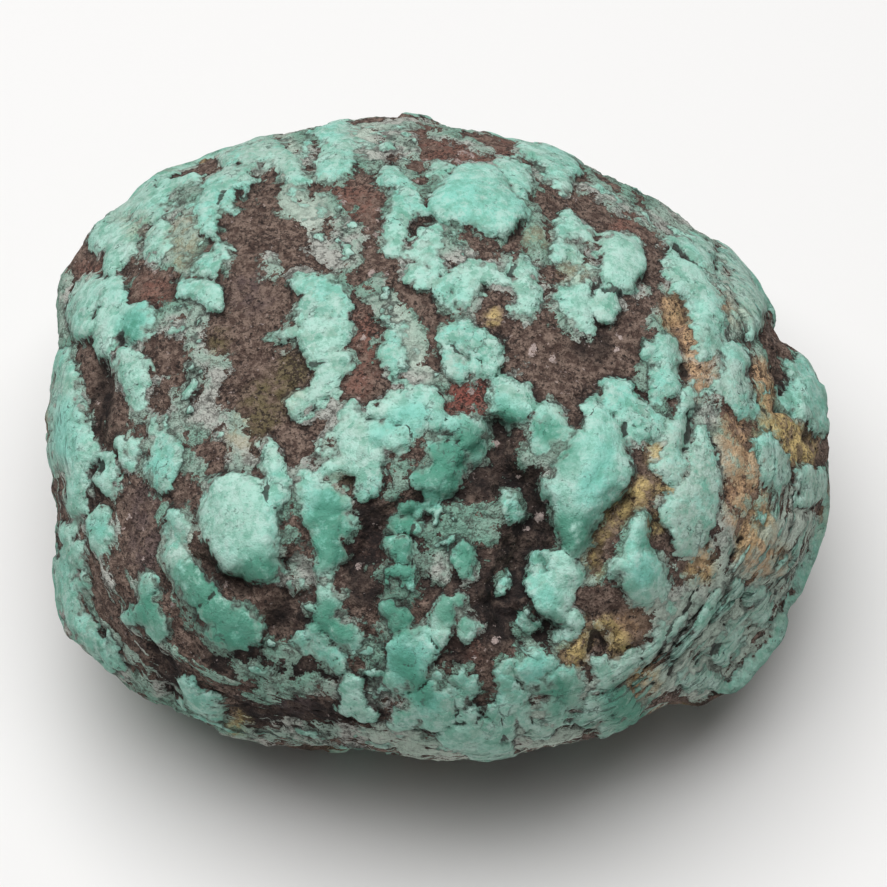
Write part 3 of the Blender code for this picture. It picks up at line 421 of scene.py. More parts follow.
# %% Dull, speckled lumps
LOW = chains_in("""
olive string: -16.8,16.2,.55 -16.8,15,.65 -16.8,13.6,.6 -16.5,12.5,.6 -17,11.6,.65 -16.2,11.2,.4
  -18,12.1,.6
upper rim: -9.3,20,.6 -8.5,20.2,.55 ; -5.2,19.6,.7 -4.7,18.8,.7 ; -5,20.6,.5
  -4.2,21,.4 -3,20.8,.5 -2,20.8,.45 -1.2,20.6,.35
by the rim: -2.6,20.2,.5 -2.3,19.6,.6 -1.9,19.2,.35
pale crescent: -10.2,16.4,.4 -9.9,15.8,.5 -9.3,15.4,.6 -8.6,15.1,.7 -8.5,14.6,.45
  -8,15.8,.35 -7.3,15.6,.5 -7,15,.5
its tail: -6.4,14.2,.5 -5.7,13.6,.5 -5.5,12.9,.5 ; -6.5,13.4,.5 -6.8,12.6,.55 ; -7.9,12.7,.55
  -5.7,11.7,.35 ; -7,11.9,.7
pale spots: -11.3,11.6,.45 -11.2,11.1,.35 ; .4,13.3,.6 .8,12.6,.6 1.3,12.1,.6 1.8,11.8,.5
beaded string: 5.9,15.1,.28 6.3,14.5,.33 6,13.9,.33 6.5,13.4,.33 6.4,12.6,.4 6.6,11.8,.33
by the tall lump: 9.8,10.9,.55 10.3,11.3,.4 ; 8,8.6,.22 8.1,7.8,.28 8.5,7.3,.28 8.9,6.9,.2
right shoulder: 12.4,15.9,.6 ; 10.4,17.2,.28 11.2,16.3,.3 11.9,15.5,.22
  13.9,15,.22 15,14.7,.22 16,13.9,.22 17,12.9,.22
shoulder's edge: 14.8,15.2,.3 16.2,14.4,.3 17,13.7,.25 ; 0,20.4,.22 3.5,19.2,.22
left edge: -25.3,6,.3 -25.3,11,.3 ; -18.6,7.6,.45
  -18,8.3,.3 -17.2,8.5,.45 -16.5,8.6,.5 -16.1,8.1,.45 -16.3,7.3,.4 -16.4,6.5,.38 -16.4,5.8,.28
long crook: -15.9,5.4,.28 -15.3,5.1,.33 -14.6,5.1,.33 -14.1,4.9,.33
  -14.7,4.4,.33 -15.1,3.7,.33 -15.3,2.8,.42 -15.6,1.9,.48 -15.8,1.1,.48 -16,.3,.4
beside it: -17.2,2.3,.45 -17.2,1.5,.55 -17.3,.6,.5 -17.3,-.2,.45 ; -16.5,-1.6,.5 -16.2,-2.2,.45
  -16.2,-.1,.35
horseshoe: -15.4,.9,.4 -14.7,1.3,.33 -13.9,1.3,.33 -13.2,.8,.42 -13.2,-.2,.42 -13.3,-1.2,.4 -13.3,-2,.4
crumbs in the middle: -6.5,10.2,.28 ; -5.2,9.6,.35 -4.8,9.6,.3 ; -4.1,10.1,.38 ; -4.2,9.1,.33 -4,8.6,.3
grey green: -3.4,8.6,.7 -3,8,.6 ; -2,7.5,.55 -1.8,6.8,.65 -1.4,6.2,.5 ; -1.5,5.3,.38
olive strip: -2.3,4.6,.33 -1.7,4,.38 -.9,3.8,.4 -.1,3.6,.35 .4,3.5,.3 ; 0,.3,.8
lilac: 16,2.7,.45 16.4,2.9,.3 ; 13.6,4.8,.4 ; 13.6,3.6,.6 ; 13.3,9.6,.28 ; 14.5,7.8,.25 14.5,7.3,.25
right side: 19.2,8.1,.35 19.2,7.3,.45 19.3,6.6,.4 ; 21.3,6.2,.35 21.7,5.2,.3 ; 17.3,1,.45 17.8,.6,.45
beside the slab: 8,-.5,.8 7.6,-1.4,.65 8.2,-1.2,.6 ; 6.5,-1.3,.35 ; 5.8,-1.6,.35
in the valley: .9,-5.4,.55 1.5,-5.6,.6 ; .6,-6.3,.7 1.6,-6.4,.7 2.4,-6.2,.6 3.1,-6.5,.5
  3.2,-5,.5 3.3,-5.5,.5
valley's side: .6,-8.3,.55 0,-7.5,.55 .2,-8.9,.45 ; -.8,-6.2,.45 -.3,-6.3,.4 ; -.6,-8.6,.45 ; -9.9,-6.5,.38
  -9.3,-8.6,.5 -9,-9.3,.5
under the pillar: -4,-9.1,.4 -3.3,-9,.6 -2.4,-9.4,.6 -2.2,-10.3,.6 -2.8,-11.1,.8 -3.4,-11.3,.6
in the tan: 20.8,1.8,.35 21.7,.6,.45 22.4,-.8,.45 ; 19.6,-.8,.25 19.8,-2,.3 ; 20.9,-1.6,.2 21.1,-2.8,.28
  20.2,-4.6,.35 ; 21.6,-4.4,.3 ; 17,2.6,.4 17.5,1.6,.4 ; 18.3,.9,.3 18.9,-.6,.3 19.2,-2.6,.22
  19.3,-5.6,.3 19.2,-7,.35
pebbles: -2.6,-2,.45 ; -2.9,-3,.28 -2.4,-3.1,.2 ; -3.3,-3.7,.25 ; -3.2,-12.6,.6
  -4.2,-15.2,.65 -4,-16.3,.65
low left: -11,-14.6,.4 -10.6,-14.2,.5 -10,-14.3,.5 ; -13,-15.7,.45 -12.4,-15.6,.45
  -11.6,-16.8,.4 -11.1,-16.5,.5 -10.5,-16.6,.5 -10.4,-17.2,.3
small ones: -9.6,-16.7,.25 -9,-16.6,.4 -8.6,-16.4,.35 ; -7.4,-16.6,.3 -6.8,-16.6,.3
lower left: -12.1,-17.4,.35 -11.5,-17.7,.35 ; 23.3,-6.8,.8 ; 24.3,-5.8,.7 ; 20.6,-11.6,.6
left edge below: -21.5,-16,.3 -17.5,-18.3,.3 ; -14.8,-19.8,.23 -13.9,-20.2,.23 -12,-20.7,.23 -11.2,-20.6,.23
  -10.3,-20.4,.22 -9.6,-20.6,.22
lower edge: -8.4,-20.7,.2 -7,-20.3,.2 -5.8,-20.1,.2 -3.6,-20.3,.2 ; -2.9,-20.2,.2 -1.5,-20.9,.2 0,-21,.2
bottom layers: -4.5,-19.4,.22 -2,-19.9,.22 .5,-20.3,.2 ; -4.5,-20.3,.2 -1,-20.9,.22 2,-21.1,.2
  4.8,-19.6,.2 7,-18.9,.22
their ends: 5,-20.4,.2 8,-19.8,.22 10.5,-19.3,.2
right flank: 19,-12,1.2 18,-14,1.2 20.5,-13,.9 ; 16.5,-11,1 15.2,-11.8,.8 ; 21.5,-8.5,1.1 22.5,-6,.8
  17,-16.5,.8 15,-16.8,.7
more bits: 23.3,-9,.6 23.2,-9.6,.4 ; 18.9,-9.6,.55 18.8,-10.6,.8 ; 20.2,-10.2,.6 ; 20.6,-9.2,.35
small bits: 19.3,-.3,.35 19.3,-1.3,.3 ; 22.3,-11.2,.6 22.4,-12.3,.5
  14.5,-14.1,.35 15.2,-13.3,.5 15.8,-12.3,.45
low bits: 16.2,-16,.45 16.8,-15.5,.55 17.3,-14.8,.55 17.9,-14,.45
  18.6,-11.2,.65 18.7,-12,.65 19.2,-12.6,.5
rim bits: 20.9,-14.2,.65 20.3,-14.9,.55 20.2,-15.5,.4 ; 21.3,-13,.35
  16.9,-17.6,.3 17.5,-17.5,.5 18.1,-17.2,.35 ; 18.6,-16.8,.3 19.2,-16.4,.4
""")

# %% [markdown]
# ## Mottled ground
# Large parts of the stone are neither: turquoise and rock are mixed there crumb by crumb. These beads
# only say where that ground is; noise decides, crumb by crumb, which of the two wins.

# %% Where the ground is mottled
HAZE = chains_in("""
upper left: -20.5,13.3,2 -18.2,16,1.6 ; -16.6,14.4,1.4 -16.5,11.3,1.3
  -22.5,9,1.6 -21.2,7,1.6 -19.9,3.7,1.2
upper rim: -13.5,18,1.2 -9.9,18.9,1.5 -6.6,19.3,1.9 -2.6,19.6,1.6 ; -9.4,16,1.2 -6.8,14.6,1.6 -6.9,12.3,1.6
round the crown: -2.3,15.6,1.2 -2.6,12.3,1 -.6,13,1.3 1,13,1.3 ; -.6,10.7,1.2 2,9.7,1.4
  4,16.3,1.8 6.7,17.6,1.2 ; 6.3,14.5,.6
under the crown: -3.6,9,1 -2.6,7,1.2 -3,5,1 -.6,4,.9 ; 2,5.7,1.5 ; 10.6,11.7,1.5 9,9,1.2
right limb: 10,17,.8 13.5,15.3,.9 16.6,13.2,.9 ; 16.6,11.7,1.2 18.6,9.7,1.6 19.6,5.7,1.3
  17.3,3.7,1 18,.5,.9
right knob: 23.9,3.4,1.4 24.6,1,1 ; 21.9,-.3,1 23.9,-2.9,1.6 21.9,-5.6,1.3 19.9,-8.2,1.6 23.2,-8.2,1.5
right flank: 17.3,-2.9,1.5 16.6,-6.9,1.2 17.9,-10.9,2.4 15.9,-14.2,2.3
  21,-12.2,2.2 18.6,-16.2,2.2 14.6,-10.9,1.3
outer flank: 21.6,3.3,1.1 ; 23,-9.8,2.1 24.5,-6.5,1.8
foot: 13.3,-17.5,2 10,-17.5,1.8 6.7,-17.5,2.3 5.3,-14.8,1.5
  2.7,-19.5,1.5 -.6,-17.5,2.2 -2.6,-14.2,2.2 -.6,-12.2,1.5 .7,-10.9,1.1
foot's left: -4.6,-16.8,1.8 -5.9,-13.5,1.4 ; -7.3,-13.5,1.4 -8.6,-10.9,.9 -10.6,-8.4,.9
middle: -2.6,-6.9,1.4 -2.6,-10.2,1.5 ; .7,-4.2,1.6 -.6,-2.3,1.6 .7,-6.9,1.3
  -6.6,-5.6,1.5 -7.6,-2.9,1.4 -7.3,.4,1
its upper part: -2.6,1,2.1 -5.3,-1.6,1.6 ; 6.7,.4,1.6 4.7,2.4,1.4 ; 8.5,-1.5,1.2
green arc: -17.2,-8.2,1.1 -15.5,-11,1.6 -13.9,-12.2,1.9 -11.2,-13.5,1.1 ; -19.2,-10.9,1.4
left: -24.5,1,1.5 -24.1,-2.9,1 ; -18.5,1,1.2 -18.2,-1.6,1.2
  -16.5,2.4,1.2 -16.2,5.7,1.1 -17.9,7.7,1.2 -15.5,9,1.1 ; -14.6,0,1
low left: -16.5,-17.5,1.1 ; -11.9,-15.2,1.1 -9.9,-16.8,1.2 ; -24.5,-9.5,1 -23.8,-12.2,1.1 -21.8,-14.8,.9
lower edge: -18,-18,.7 -12.6,-20.5,.8 -7.3,-20.5,.7 -2.6,-20.5,.8
""")

# %% [markdown]
# ## Grooves, ledges, cracks and grains
# Grooves are where the rock has worn deepest. Ledges are thin raised lines that follow the turn of
# the sides, like layers. A crack is a groove so thin that it is mostly a dark line across a lump.
# The grains are quartz: sand-sized, pale, and caught in the rock.

# %% Thin marks
GROOVES = [  # depth, then the line
    (1.3, "valley: 4,0,.9 3,-2,.9 5.5,-3.5,.8 6,-6,.9 5.5,-8.5,1 4,-11,.9 5.5,-13,.9 7.5,-13,.7"),
    (0.8, "branch: 1.5,-3.6,.4 -1,-4.6,.4 -4.5,-6.5,.6 -5.5,-8.5,.7"),
    (0.8, "under the boss: -10,-8.5,.6 -9,-9.8,.7 -10.5,-12,.9"),
    (0.7, "round the boss: -15.8,-8.5,.4 -14.5,-9.6,.5 -12.5,-10.3,.5"),
    (0.8, "left groove: -22.5,4,.6 -23,1,.6 -22.9,-1.5,.4"),
    (0.9, "right groove: 22,7,.4 23.2,4,.5 23.3,2,.4"),
    (0.8, "channel: 12,-4.5,.5 10.8,-6.3,.6 10,-8.8,.6"),
    (0.6, "low left: -19.5,-14,.5 -18.2,-16,.5 -18,-17.3,.5"),
    (0.6, "left arc: -13,-9.9,.3 -18.2,-6.5,.3 -18.6,-9.5,.3 -17.2,-11.4,.3 -16.2,-14.2,.3"),
    (0.7, "right chain's side: 16.5,8.4,.4 15.7,7.2,.4 16.2,4.6,.3"),
    (0.6, "strip's side: 16.6,1,.2 16.6,-.8,.2"),
]
LEDGES = [  # height, then the line
    (0.45, "right ledge: 18.6,9,.35 18.6,2,.35 18.5,-6,.35"),
    (0.4, "outer ledge: 20.3,5.5,.3 20.3,1.6,.3"),
    (0.4, "low left: -19.3,-13.2,.3 -17,-14.9,.3 -14.5,-16.2,.3"),
    (0.35, "left: -18.3,-4.3,.25 -18.4,-8,.25 -17.3,-10.5,.25"),
    (0.4, "far left: -22.6,-8.2,.3 -21.8,-10.6,.3"),
    (0.35, "flank: 18.9,-5,.3 18.9,-9,.3"),
    (0.4, "over the arch: 9,-14.2,.4 9.7,-12.7,.4 10.8,-12,.4 12,-12.6,.4 12.4,-13.8,.4"),
    (0.4, "lower edge: -14.8,-19.8,.3 -11.2,-20.6,.3"),
]
PALE_LINES = chains_in("""
left: -18.3,-4.3,.22 -18.3,-5.4,.25 ; -18.4,-8,.25 -18,-9,.25 -17.3,-10.5,.22
  -16.7,-11.5,.2 -16.2,-12.6,.2 -15.5,-13.3,.2 -15.2,-14,.2
far left: -22.6,-8.2,.25 -22.4,-8.9,.25 -22.1,-9.8,.2 -21.8,-10.6,.13 ; -20.7,-9.4,.22 -20.4,-10.2,.22
  -21.4,-11.5,.15 -21.4,-12.5,.15
low left: -19.3,-13.2,.25 -18.4,-13.6,.28 -17.6,-14.3,.25 -17,-14.9,.25 -16.2,-15.2,.2 -15.5,-15.8,.2
  -15.5,-15.8,.2 -14.5,-16.2,.2 -13.4,-16.3,.2
its ends: -18.8,-14.1,.13 -18.4,-14.7,.13 ; -21.2,-14.7,.28 -20.8,-15.1,.22
  -19.8,-15.9,.28 -19.5,-16.4,.22
lower edge: 5.5,-20.3,.2 6.5,-20,.2 8,-19.6,.2 9.5,-19.3,.2
arch: 9.5,-14.2,.1 9.9,-13,.12 10.5,-12.6,.12 11.1,-13.2,.12 11.2,-14.4,.1
right: 18.9,-5,.2 18.8,-7,.2 18.9,-9,.2 ; 18.5,3,.12 18.3,1,.12
  17.3,.6,.1 17.9,-.9,.15 18.4,-2.2,.17 18.5,-4,.17 18.5,-5.8,.12 ; 20.3,5.5,.12 20.3,1.6,.12
""")
CRACKS = chains_in("""
arch: 9.95,-14.4,.14 10.15,-13.7,.19 10.45,-13.15,.2 10.75,-13.5,.16 11,-14,.1 ; 12.4,-14,.15
flank: 15.1,-13.1,.06 16.1,-11.9,.1 16.9,-10.7,.1 17.8,-9.4,.06
  15.7,-14.1,.06 16.7,-12.9,.1 17.6,-11.7,.1 18.6,-10,.06
flank below: 17.6,-14.3,.06 18.4,-13.3,.12 19.4,-12.1,.1 19.8,-10.5,.06
  19,-14.5,.06 20,-13.3,.12 20.2,-12.3,.06
flank's foot: 18.2,-16.4,.06 19.4,-15.1,.12 20.2,-14.1,.06
  14.7,-17.2,.06 16.1,-16.4,.14 16.9,-15.6,.1 18.2,-14.5,.06
outer flank: 21.2,-12.5,.06 21.7,-11,.12 22,-9.5,.06 ; 23.3,-11,.06 23.6,-9.4,.1 23.8,-8,.06
  19.3,-8.6,.06 20,-6.8,.1
lowest: 8.4,-19.6,.06 10,-18.9,.12 11.2,-18.4,.1 ; 15.1,-18,.06 16.5,-17.4,.15
  13.2,-16.6,.06 14.4,-15,.1 15.2,-13.9,.06
pillar: -3.3,-6.65,.12 -2.4,-6.5,.12 -1.5,-6.6,.12 ; -3,-8.2,.12 -2.5,-8.25,.1 ; -1.6,-6,.1 -1.6,-8.3,.1
slabs: -8.4,4.95,.1 -7.4,4.9,.1 ; 11,9.5,.09 12.3,9.2,.09 ; -11.6,-3,.1 -11.4,-4.2,.1
  -20.9,6.7,.09 -20.9,6,.09
lumps: 12.2,.7,.1 12.5,0,.1 ; .7,17,.1 -.3,16.9,.09 ; 5.1,11.4,.1 4.7,10.6,.1
lines: -18.9,16.8,.09 -18.2,16.3,.09 ; 2.4,9.9,.09 2.9,9.6,.1 3.4,9.8,.08 ; 1.3,-.3,.09 .6,-.3,.1
  9.6,-19.8,.12 10.4,-19.9,.1
flank lump: 17.7,.5,.06 18.3,-1,.1 18.8,-2.4,.12 18.9,-4,.1 18.9,-5.6,.06
  20.6,2.6,.06 21.6,1.2,.1 22.6,-.7,.06
strip: 16.6,1.6,.13 16.5,-.8,.13 ; 16.2,5,.12 16.4,4.2,.12 ; 13.9,-9.6,.07 14.4,-9.9,.07
notches: -14.4,16.1,.16 -14.5,15.7,.13 ; -23,-1.7,.25 -22.9,-2.2,.2
  15.7,12.3,.25 16.4,11.8,.25 16.6,11.4,.2
""")
GRAINS = chains_in("""
upper: -18.9,11.1,.25 ; -17.8,10.6,.12 ; -23.3,2.6,.15 ; -.9,18.3,.2 ; -6.6,16.2,.15 ; -6.4,15.7,.2
  -4,15.1,.2 ; -4.1,14.4,.15 ; -4.8,13.8,.15
upper middle: -4.2,13.4,.18 ; -4.5,10.8,.25 ; -3.5,10.8,.15 ; -1.5,16.9,.12 ; -.9,16,.15 ; 9.1,15.8,.13
  6.2,5.8,.25 ; 6.1,5.4,.2 ; 7.5,5.1,.25
right: 12,6.5,.15 ; 11.8,5.7,.2 ; 16,5.6,.2 ; 2.4,3.7,.2 ; 2.1,3,.25 ; 2.2,1.9,.18 ; 3.7,-.5,.28
  5.7,-6.2,.2 ; 5.2,-2.7,.15 ; 7,-4.3,.18
middle: -5,6.5,.2 ; -5.4,2.4,.2 ; -6.8,1.9,.15 ; 6.6,-5.4,.35 ; -5.4,-8.6,.22 ; 3.7,-13.5,.25
  2.3,-14.7,.15
low left: -20.8,-5.3,.2 ; -21.2,-6.1,.13 ; -19.7,-8.1,.12 ; -14.2,-9.8,.2 ; -17.7,-11.2,.2 ; -10.3,-15.9,.2
fibres: 1.1,18.2,.12 2.8,17.4,.1 ; 1.4,18.9,.1 2.3,18.6,.1
""")

# %% [markdown]
# ## Stains in the rock
# Iron colours the rock: red where it has rusted dry, ochre and olive where it stayed damp, and near
# black with manganese in the deepest hollows. A stain has no edge, so here a chain only says where
# it is strongest; it fades out over about its own width.
# Three more lists are about the turquoise: where it is a deeper green, where it is bluer, and where
# it is paler: partly faded by wear and partly painted light on the right flank and the upper and left
# rims. A bead whose width is below zero is a weak one, which never reaches full strength.

# %% Stains
STAINS = {
    "red": """
nodule: 1.7,2.8,1.1 1.6,2.4,1.1 1.8,3.2,1""",
    "rust": """
rim: -1,19.3,1 4.5,18.7,1 ; -6.5,16.2,.8 -5,15.5,.8 ; -5,7.5,.7 -5,5,.7 -5.5,3.5,.7 ; -23,10.8,.7
  -19,9.8,.9 ; 12.6,14,.9 ; 1.8,-14.2,.7 ; 19.3,1.2,.5 ; 19.4,-3.2,.6 ; -5,-7.2,.9""",
    "ochre": """
spots: 15.7,8.2,.3 ; 13.2,-3.6,.6 ; 14.2,-1.2,.2 ; 15,-3.3,.3 15.8,-3.4,.3 ; 14.4,-5.8,.4 ; 17.3,-8.8,.7
  20.8,-7,.7
right: 22.3,.4,.9 23.4,0,.9 24.2,-1,.7 ; 22,3,.5 21.8,2,.5 ; 21.5,-5.8,.8
channel: 12,-4.5,.3 10.8,-6.3,.2 10,-8.8,.3 ; 13.8,-16.3,.8
arch: 9,-14.5,.5 9.3,-13.8,.4 9.9,-12.6,.3 11.2,-12.6,.3 ; 11.6,-13.2,.4 12,-14.2,.3
left: -13.5,-19.5,.2 ; 3.3,7.9,.1""",
    "tan": """
right: 19.5,.2,.9 20,-1.5,1.1 20.4,-3.5,1.1 20.6,-5.3,1.1 22,-8.2,1.3 ; 13.8,-17,.8 ; 17.2,-8.4,.6
upper right: 15.8,8.6,.7 17.1,5,.6 17.4,3.6,.7 ; 18.4,8.6,.5 ; 21.7,4.5,.6 22.2,2.2,.6 ; 12.9,-12.3,.7""",
    "olive": """
left: -20,13.8,.5 ; -14.7,6.1,.5 ; -6.6,-3,.6 ; -17,13.5,.8 -17,11.8,.6 ; -13,0,.8 -11,2.5,1.2 -9.5,4.5,.8
right: 6.4,13,.5 ; 14.4,-5.8,.4 ; 9,11,.6 ; 19.5,8,.5""",
    "dark": """
valley: 4,0,1.1 3.3,-1.5,1.3 3,-2.5,1.6 5.5,-3.3,1.6 6,-6,1.8 5.2,-8.5,1.9 4.6,-10.5,1.7
  5.2,-13,.8 7.3,-13,.8
its side: 2,-8.3,1.1 2.4,-9.8,1.3 3.3,-11.6,1.3 3.8,-13,.9 ; -1.2,-8.3,.5 ; 1.2,-14.4,.8 ; -8.5,-12,.9
  -8.9,-15.6,.7
left: -22.3,4.2,.6 -23,1.2,.6 ; 10.2,6.2,1.2 ; -1,-4.8,.6 1,-3.9,.6 ; -4.8,-5.2,.9 -5.2,-8,1.2 -5,-10,1
  -.9,-6.5,.9 -.6,-9.5,.9 ; -10.5,-11.8,.7
foot: -14.6,-14.6,1 -12.4,-15.2,1 -9.5,-15.4,1 -7.5,-15.6,.8 ; -19.5,-14,.7 -18.2,-16,.7 -18,-17.3,.7
  -12.5,-18.8,1.1 -10,-18.9,1.2 -7.5,-19,1.1
right: 23.2,4,.3 23.3,2.2,.3 ; 16,-17,.3""",
    "dusky": """
left: -19.5,-4.5,1 -19.2,-8,1 ; -12.5,9.5,1 ; 16.2,2.8,.6 ; -10,-18,1.2 ; 20.6,-11.6,.6""",
}
STAINS = {name: chains_in(text) for name, text in STAINS.items()}
print("stains:", {name: len(chains) for name, chains in STAINS.items()})

# %% Where the turquoise changes
DEEP = chains_in("""
middle: .2,-2.4,1.9 1.6,-.5,1 ; -2.6,-5,1.3 -2.6,-7.5,1.9 -2.6,-9.5,1.9 ; -7.3,-4.6,.9 -7.4,-6.6,1.9
  1.6,-8,1
its lower part: -7.4,-12,1.3 ; -2.5,-12,1.3 ; 14,-7,.6 ; 11.2,0,-.2 10.3,-2.8,-.3 ; 17.4,-4,-.2
  13.4,-9.3,-.4 ; 7.2,-10.9,-.2
its upper part: 5,2.2,-.2 ; 2.3,6,-.3 ; 2.5,10.6,-.4 ; 11.7,2.6,-.3 13,.9,-.2 ; 12.1,11,-.4 ; 5.8,9.7,-.4
  9.1,8.8,-.4 ; -8,5,-.4
foot: -2.5,-15,.7 -.9,-17.3,.6 ; 8,-17,1 ; -7,-12.5,1.2 ; 1,-11.5,1.2
left: -13.9,-12.4,2.2 -16.8,-9.4,1 ; -12,-9,1.3 ; -19.4,-11.4,1.2 ; -20.2,7.1,.7
right: 8.8,-6.4,1.3 ; 17.9,6.4,.2 ; 4.6,1.4,.9 ; 2,-.6,.9 ; 7.2,.2,.8 ; 7.9,-1.2,.8 ; 12.5,-18,1.5
""")
BLUE = chains_in("""
left: -20.2,7.3,.8 -19.9,7.6,.8 ; -25,2,.4 -25,-1,.4 ; -22.9,-6,.4 ; -18.6,-2,.3
middle: -4,0,.3 -1.8,1.6,.9 ; -7.6,-4.4,.8 ; 1,.6,.3 ; -10.9,-2.5,.2
slabs: 11,-1,.5 10,-3.5,.6 ; -1.5,15,-.2 2,15.6,-.2 ; -2.9,14,-.1
foot: -2.3,-14.8,1 ; 6.4,-15.2,.6 ; -.8,-17.6,.4 ; 11.2,-17.4,.3 ; 13.6,-9.4,.4 ; 7.3,-10.8,.5
""")
# partly wear and partly painted light: paler turquoise on the right flank and along the upper and left rims
FADED_AND_LIT = chains_in("""
left rim: -25.2,3,.5 -25.2,-2,.5
right limb: 17.6,-2,1.7 17.4,-4.5,1.9 16.8,-7.5,1.5 ; 19.6,3.5,.9 ; 20.6,9,.9 ; 18.3,12.5,1
  15.8,0,.7 15.5,-2,.9
far right: 22.3,-2,1.2 ; 24.8,-3.5,1.2 ; 18.5,-9.8,1.6 21.5,-9.5,2 22.5,-12,2 ; 20,-14.5,2.2 17.5,-16,2.2
  24,-6.5,2
near the foot: .8,-11.3,.6 .2,-12.5,.6
foot: 14.5,-12.5,2.2 14,-15.5,2.2 12,-18.5,2.2 ; 9,-16.8,1.2 ; 6.6,-19,1 ; -4,-20.4,.5 3,-21,.5 9,-20,.5
right rim: 20.3,8.5,1.5 19.3,11.5,1.1 ; 17.7,6.3,.6
upper rim: -23.8,11,.8 ; -20.5,15.2,1 ; -15,18,1.2 -10.5,18.9,1.2 ; -5,20,1 ; -9.6,15.8,.9 -8.5,14.9,1.2
left: -17,-7,1 -17,-9.5,1 ; -3.2,8.6,.5 -2,7,.5 -1,4.5,.4
middle: 1,5,.9
""")
print("places of deeper green, bluer and faded turquoise:", len(DEEP), len(BLUE), len(FADED_AND_LIT))

# %% [markdown]
# ## From drawing to relief
# A clay modeller would roll each lump and press it on; here each lump lifts the skin instead. Near an
# edge the height climbs steeply and then levels off to a gently domed top, which is how a worn lump
# looks. Before the depth is read, every place is nudged by smooth noise of two sizes, so that no edge
# keeps the round shape of its beads.

# %% Steady noise
def noise_at(points, size, seed, octaves=1):
    """Smooth noise of about -1 to 1 at each point; size is the width of its blobs in mm."""
    shift = Vector((seed * 17.3, seed * 5.1, seed * 9.7))
    if octaves == 1:
        return np.array([noise.noise(Vector(point) / size + shift) for point in points])
    return np.array([noise.fractal(Vector(point) / size + shift, 0.7, 2.2, octaves) for point in points])


def crumbs_of(size):
    """For crumbs about size mm wide: the way to the middle of each point's crumb, and the gap to the next."""
    found = [noise.voronoi(Vector(point) / size) for point in form]
    way = np.array([middles[0] for _, middles in found]) * size - form
    gap = np.array([reach[1] - reach[0] for reach, _ in found]) * size
    up_face = way[:, 1] * math.sin(FACE_RISE) + way[:, 2] * math.cos(FACE_RISE)
    return np.column_stack((way[:, 0], up_face)), gap


def steady_noise(width, seed):
    """A nudge across and up for every point."""
    return np.column_stack([noise_at(form, width, seed + turn) for turn in (0, 0.5)])


NUDGES = [(2.2, 0.3, 1), (0.9, 0.12, 3)]  # blob width and how far, both in mm, then the seed
BIG_CRUMB, SMALL_CRUMB = 1.7, 0.85        # widths in mm
firm_at = at.copy()
for width, far, seed in NUDGES:
    firm_at += far * steady_noise(width, seed)
to_big, big_gap = crumbs_of(BIG_CRUMB)
to_small, small_gap = crumbs_of(SMALL_CRUMB)
firm_at += 0.06 * to_big + 0.08 * to_small            # for high lumps, whose edges are nearly smooth
worn_at = firm_at + 0.05 * to_big + 0.12 * to_small   # for the other clean lumps
drawn_at = firm_at + 0.12 * to_big + 0.26 * to_small  # for everything else, whose edges crumble
fine = noise_at(form, 0.55, 7)
rolling = noise_at(form, 2.6, 9)
print("furthest nudge, mm:", round(float(np.abs(drawn_at - at).max()), 2))

# %% Layers that follow the turn of the sides
ARC = 22.0        # about as far as the skin runs, in mm, for each radian away from the middle of the face
THIN = 0.5        # a layer's thickness in mm
ROUND = 8.0       # the more, the shorter the streaks that make up a layer
bearing = np.arctan2(unit[:, 1], unit[:, 0])
comb = np.column_stack((closer * ARC / THIN, np.cos(bearing) * ROUND, np.sin(bearing) * ROUND))
layered = smooth_step(0.75, 1.15, closer) * smooth_step(1.66, 1.36, closer)  # 1 on the sides, 0 elsewhere
layered *= 1 - 0.8 * smooth_step(0.3, 0.8, np.sin(bearing))  # and little of it at the top
streaky = noise_at(comb, 1.0, 31, 2)
crumbly = noise_at(form, 1.1, 33, 3)
mottle = layered * streaky + (1 - layered) * crumbly
ease = smooth_step(-0.45, 0.25, noise_at(form, 3.2, 35))  # 1 where lumps melt into the rock, 0 if sheer
print("mottle spreads by", round(float(mottle.std()), 2), "and ease is about", round(float(ease.mean()), 2))

# %% Depths of the drawn face
WANDER = 1.6   # how far, in mm, the drawing strays where the top turns away
SPREAD = 0.26  # the drawing keeps to the lumps' firm cores, and their edges lie this much further out, in mm
eye = to_world(np.zeros((1, 2)), np.array([SIGHT]))[0]
sight = eye - form
sight /= np.linalg.norm(sight, axis=1)[:, None]
facing = np.einsum("ij,ij->i", normals, sight)
drawn = smooth_step(-0.2, -0.06, facing + 0.1 * noise_at(form, 4.0, 55))  # 1 where the drawing counts
at_top = smooth_step(4, 14, at[:, 1]) * smooth_step(0.6, 0.1, facing)
wander = WANDER * at_top[:, None] * steady_noise(3.4, 51)  # so no lump runs on straight over the top
for reading in (firm_at, worn_at, drawn_at):
    reading += wander
high, next_high = two_depths(firm_at, HIGH)
middle, next_middle = two_depths(worn_at, MIDDLE)
next_nearest = np.maximum(np.minimum(high, middle), np.maximum(next_high, next_middle)) + SPREAD
high += 0.05 * fine + SPREAD
middle += 0.07 * fine + SPREAD
joins = np.where(next_nearest > 0.05, 0.07 - 0.8 * (np.maximum(high, middle) - next_nearest), FAR)
joins += 0.1 * noise_at(form, 0.9, 41)  # the joins between lumps that touch; noise opens and shuts them
low = chain_depth(drawn_at, LOW) + 0.2 * fine + SPREAD
haze = np.minimum(chain_depth(drawn_at, HAZE), 0.7) - 0.55 + 0.85 * mottle
middle = np.maximum(middle, np.minimum(haze - 0.34, 0.4))
fringe = np.minimum(np.maximum(high, middle), 0.3) - 0.24 + 0.5 * ease + 0.6 * mottle
low = np.maximum(low, np.maximum(haze, fringe))
cracks = np.maximum(chain_depth(drawn_at, CRACKS), joins)
grains = chain_depth(at, GRAINS)
pale_lines = chain_depth(drawn_at, PALE_LINES)
clean_part = np.maximum(high, middle)[facing > 0.2] > 0
print("share of the face that is clean turquoise:", round(float(clean_part.mean()), 2))


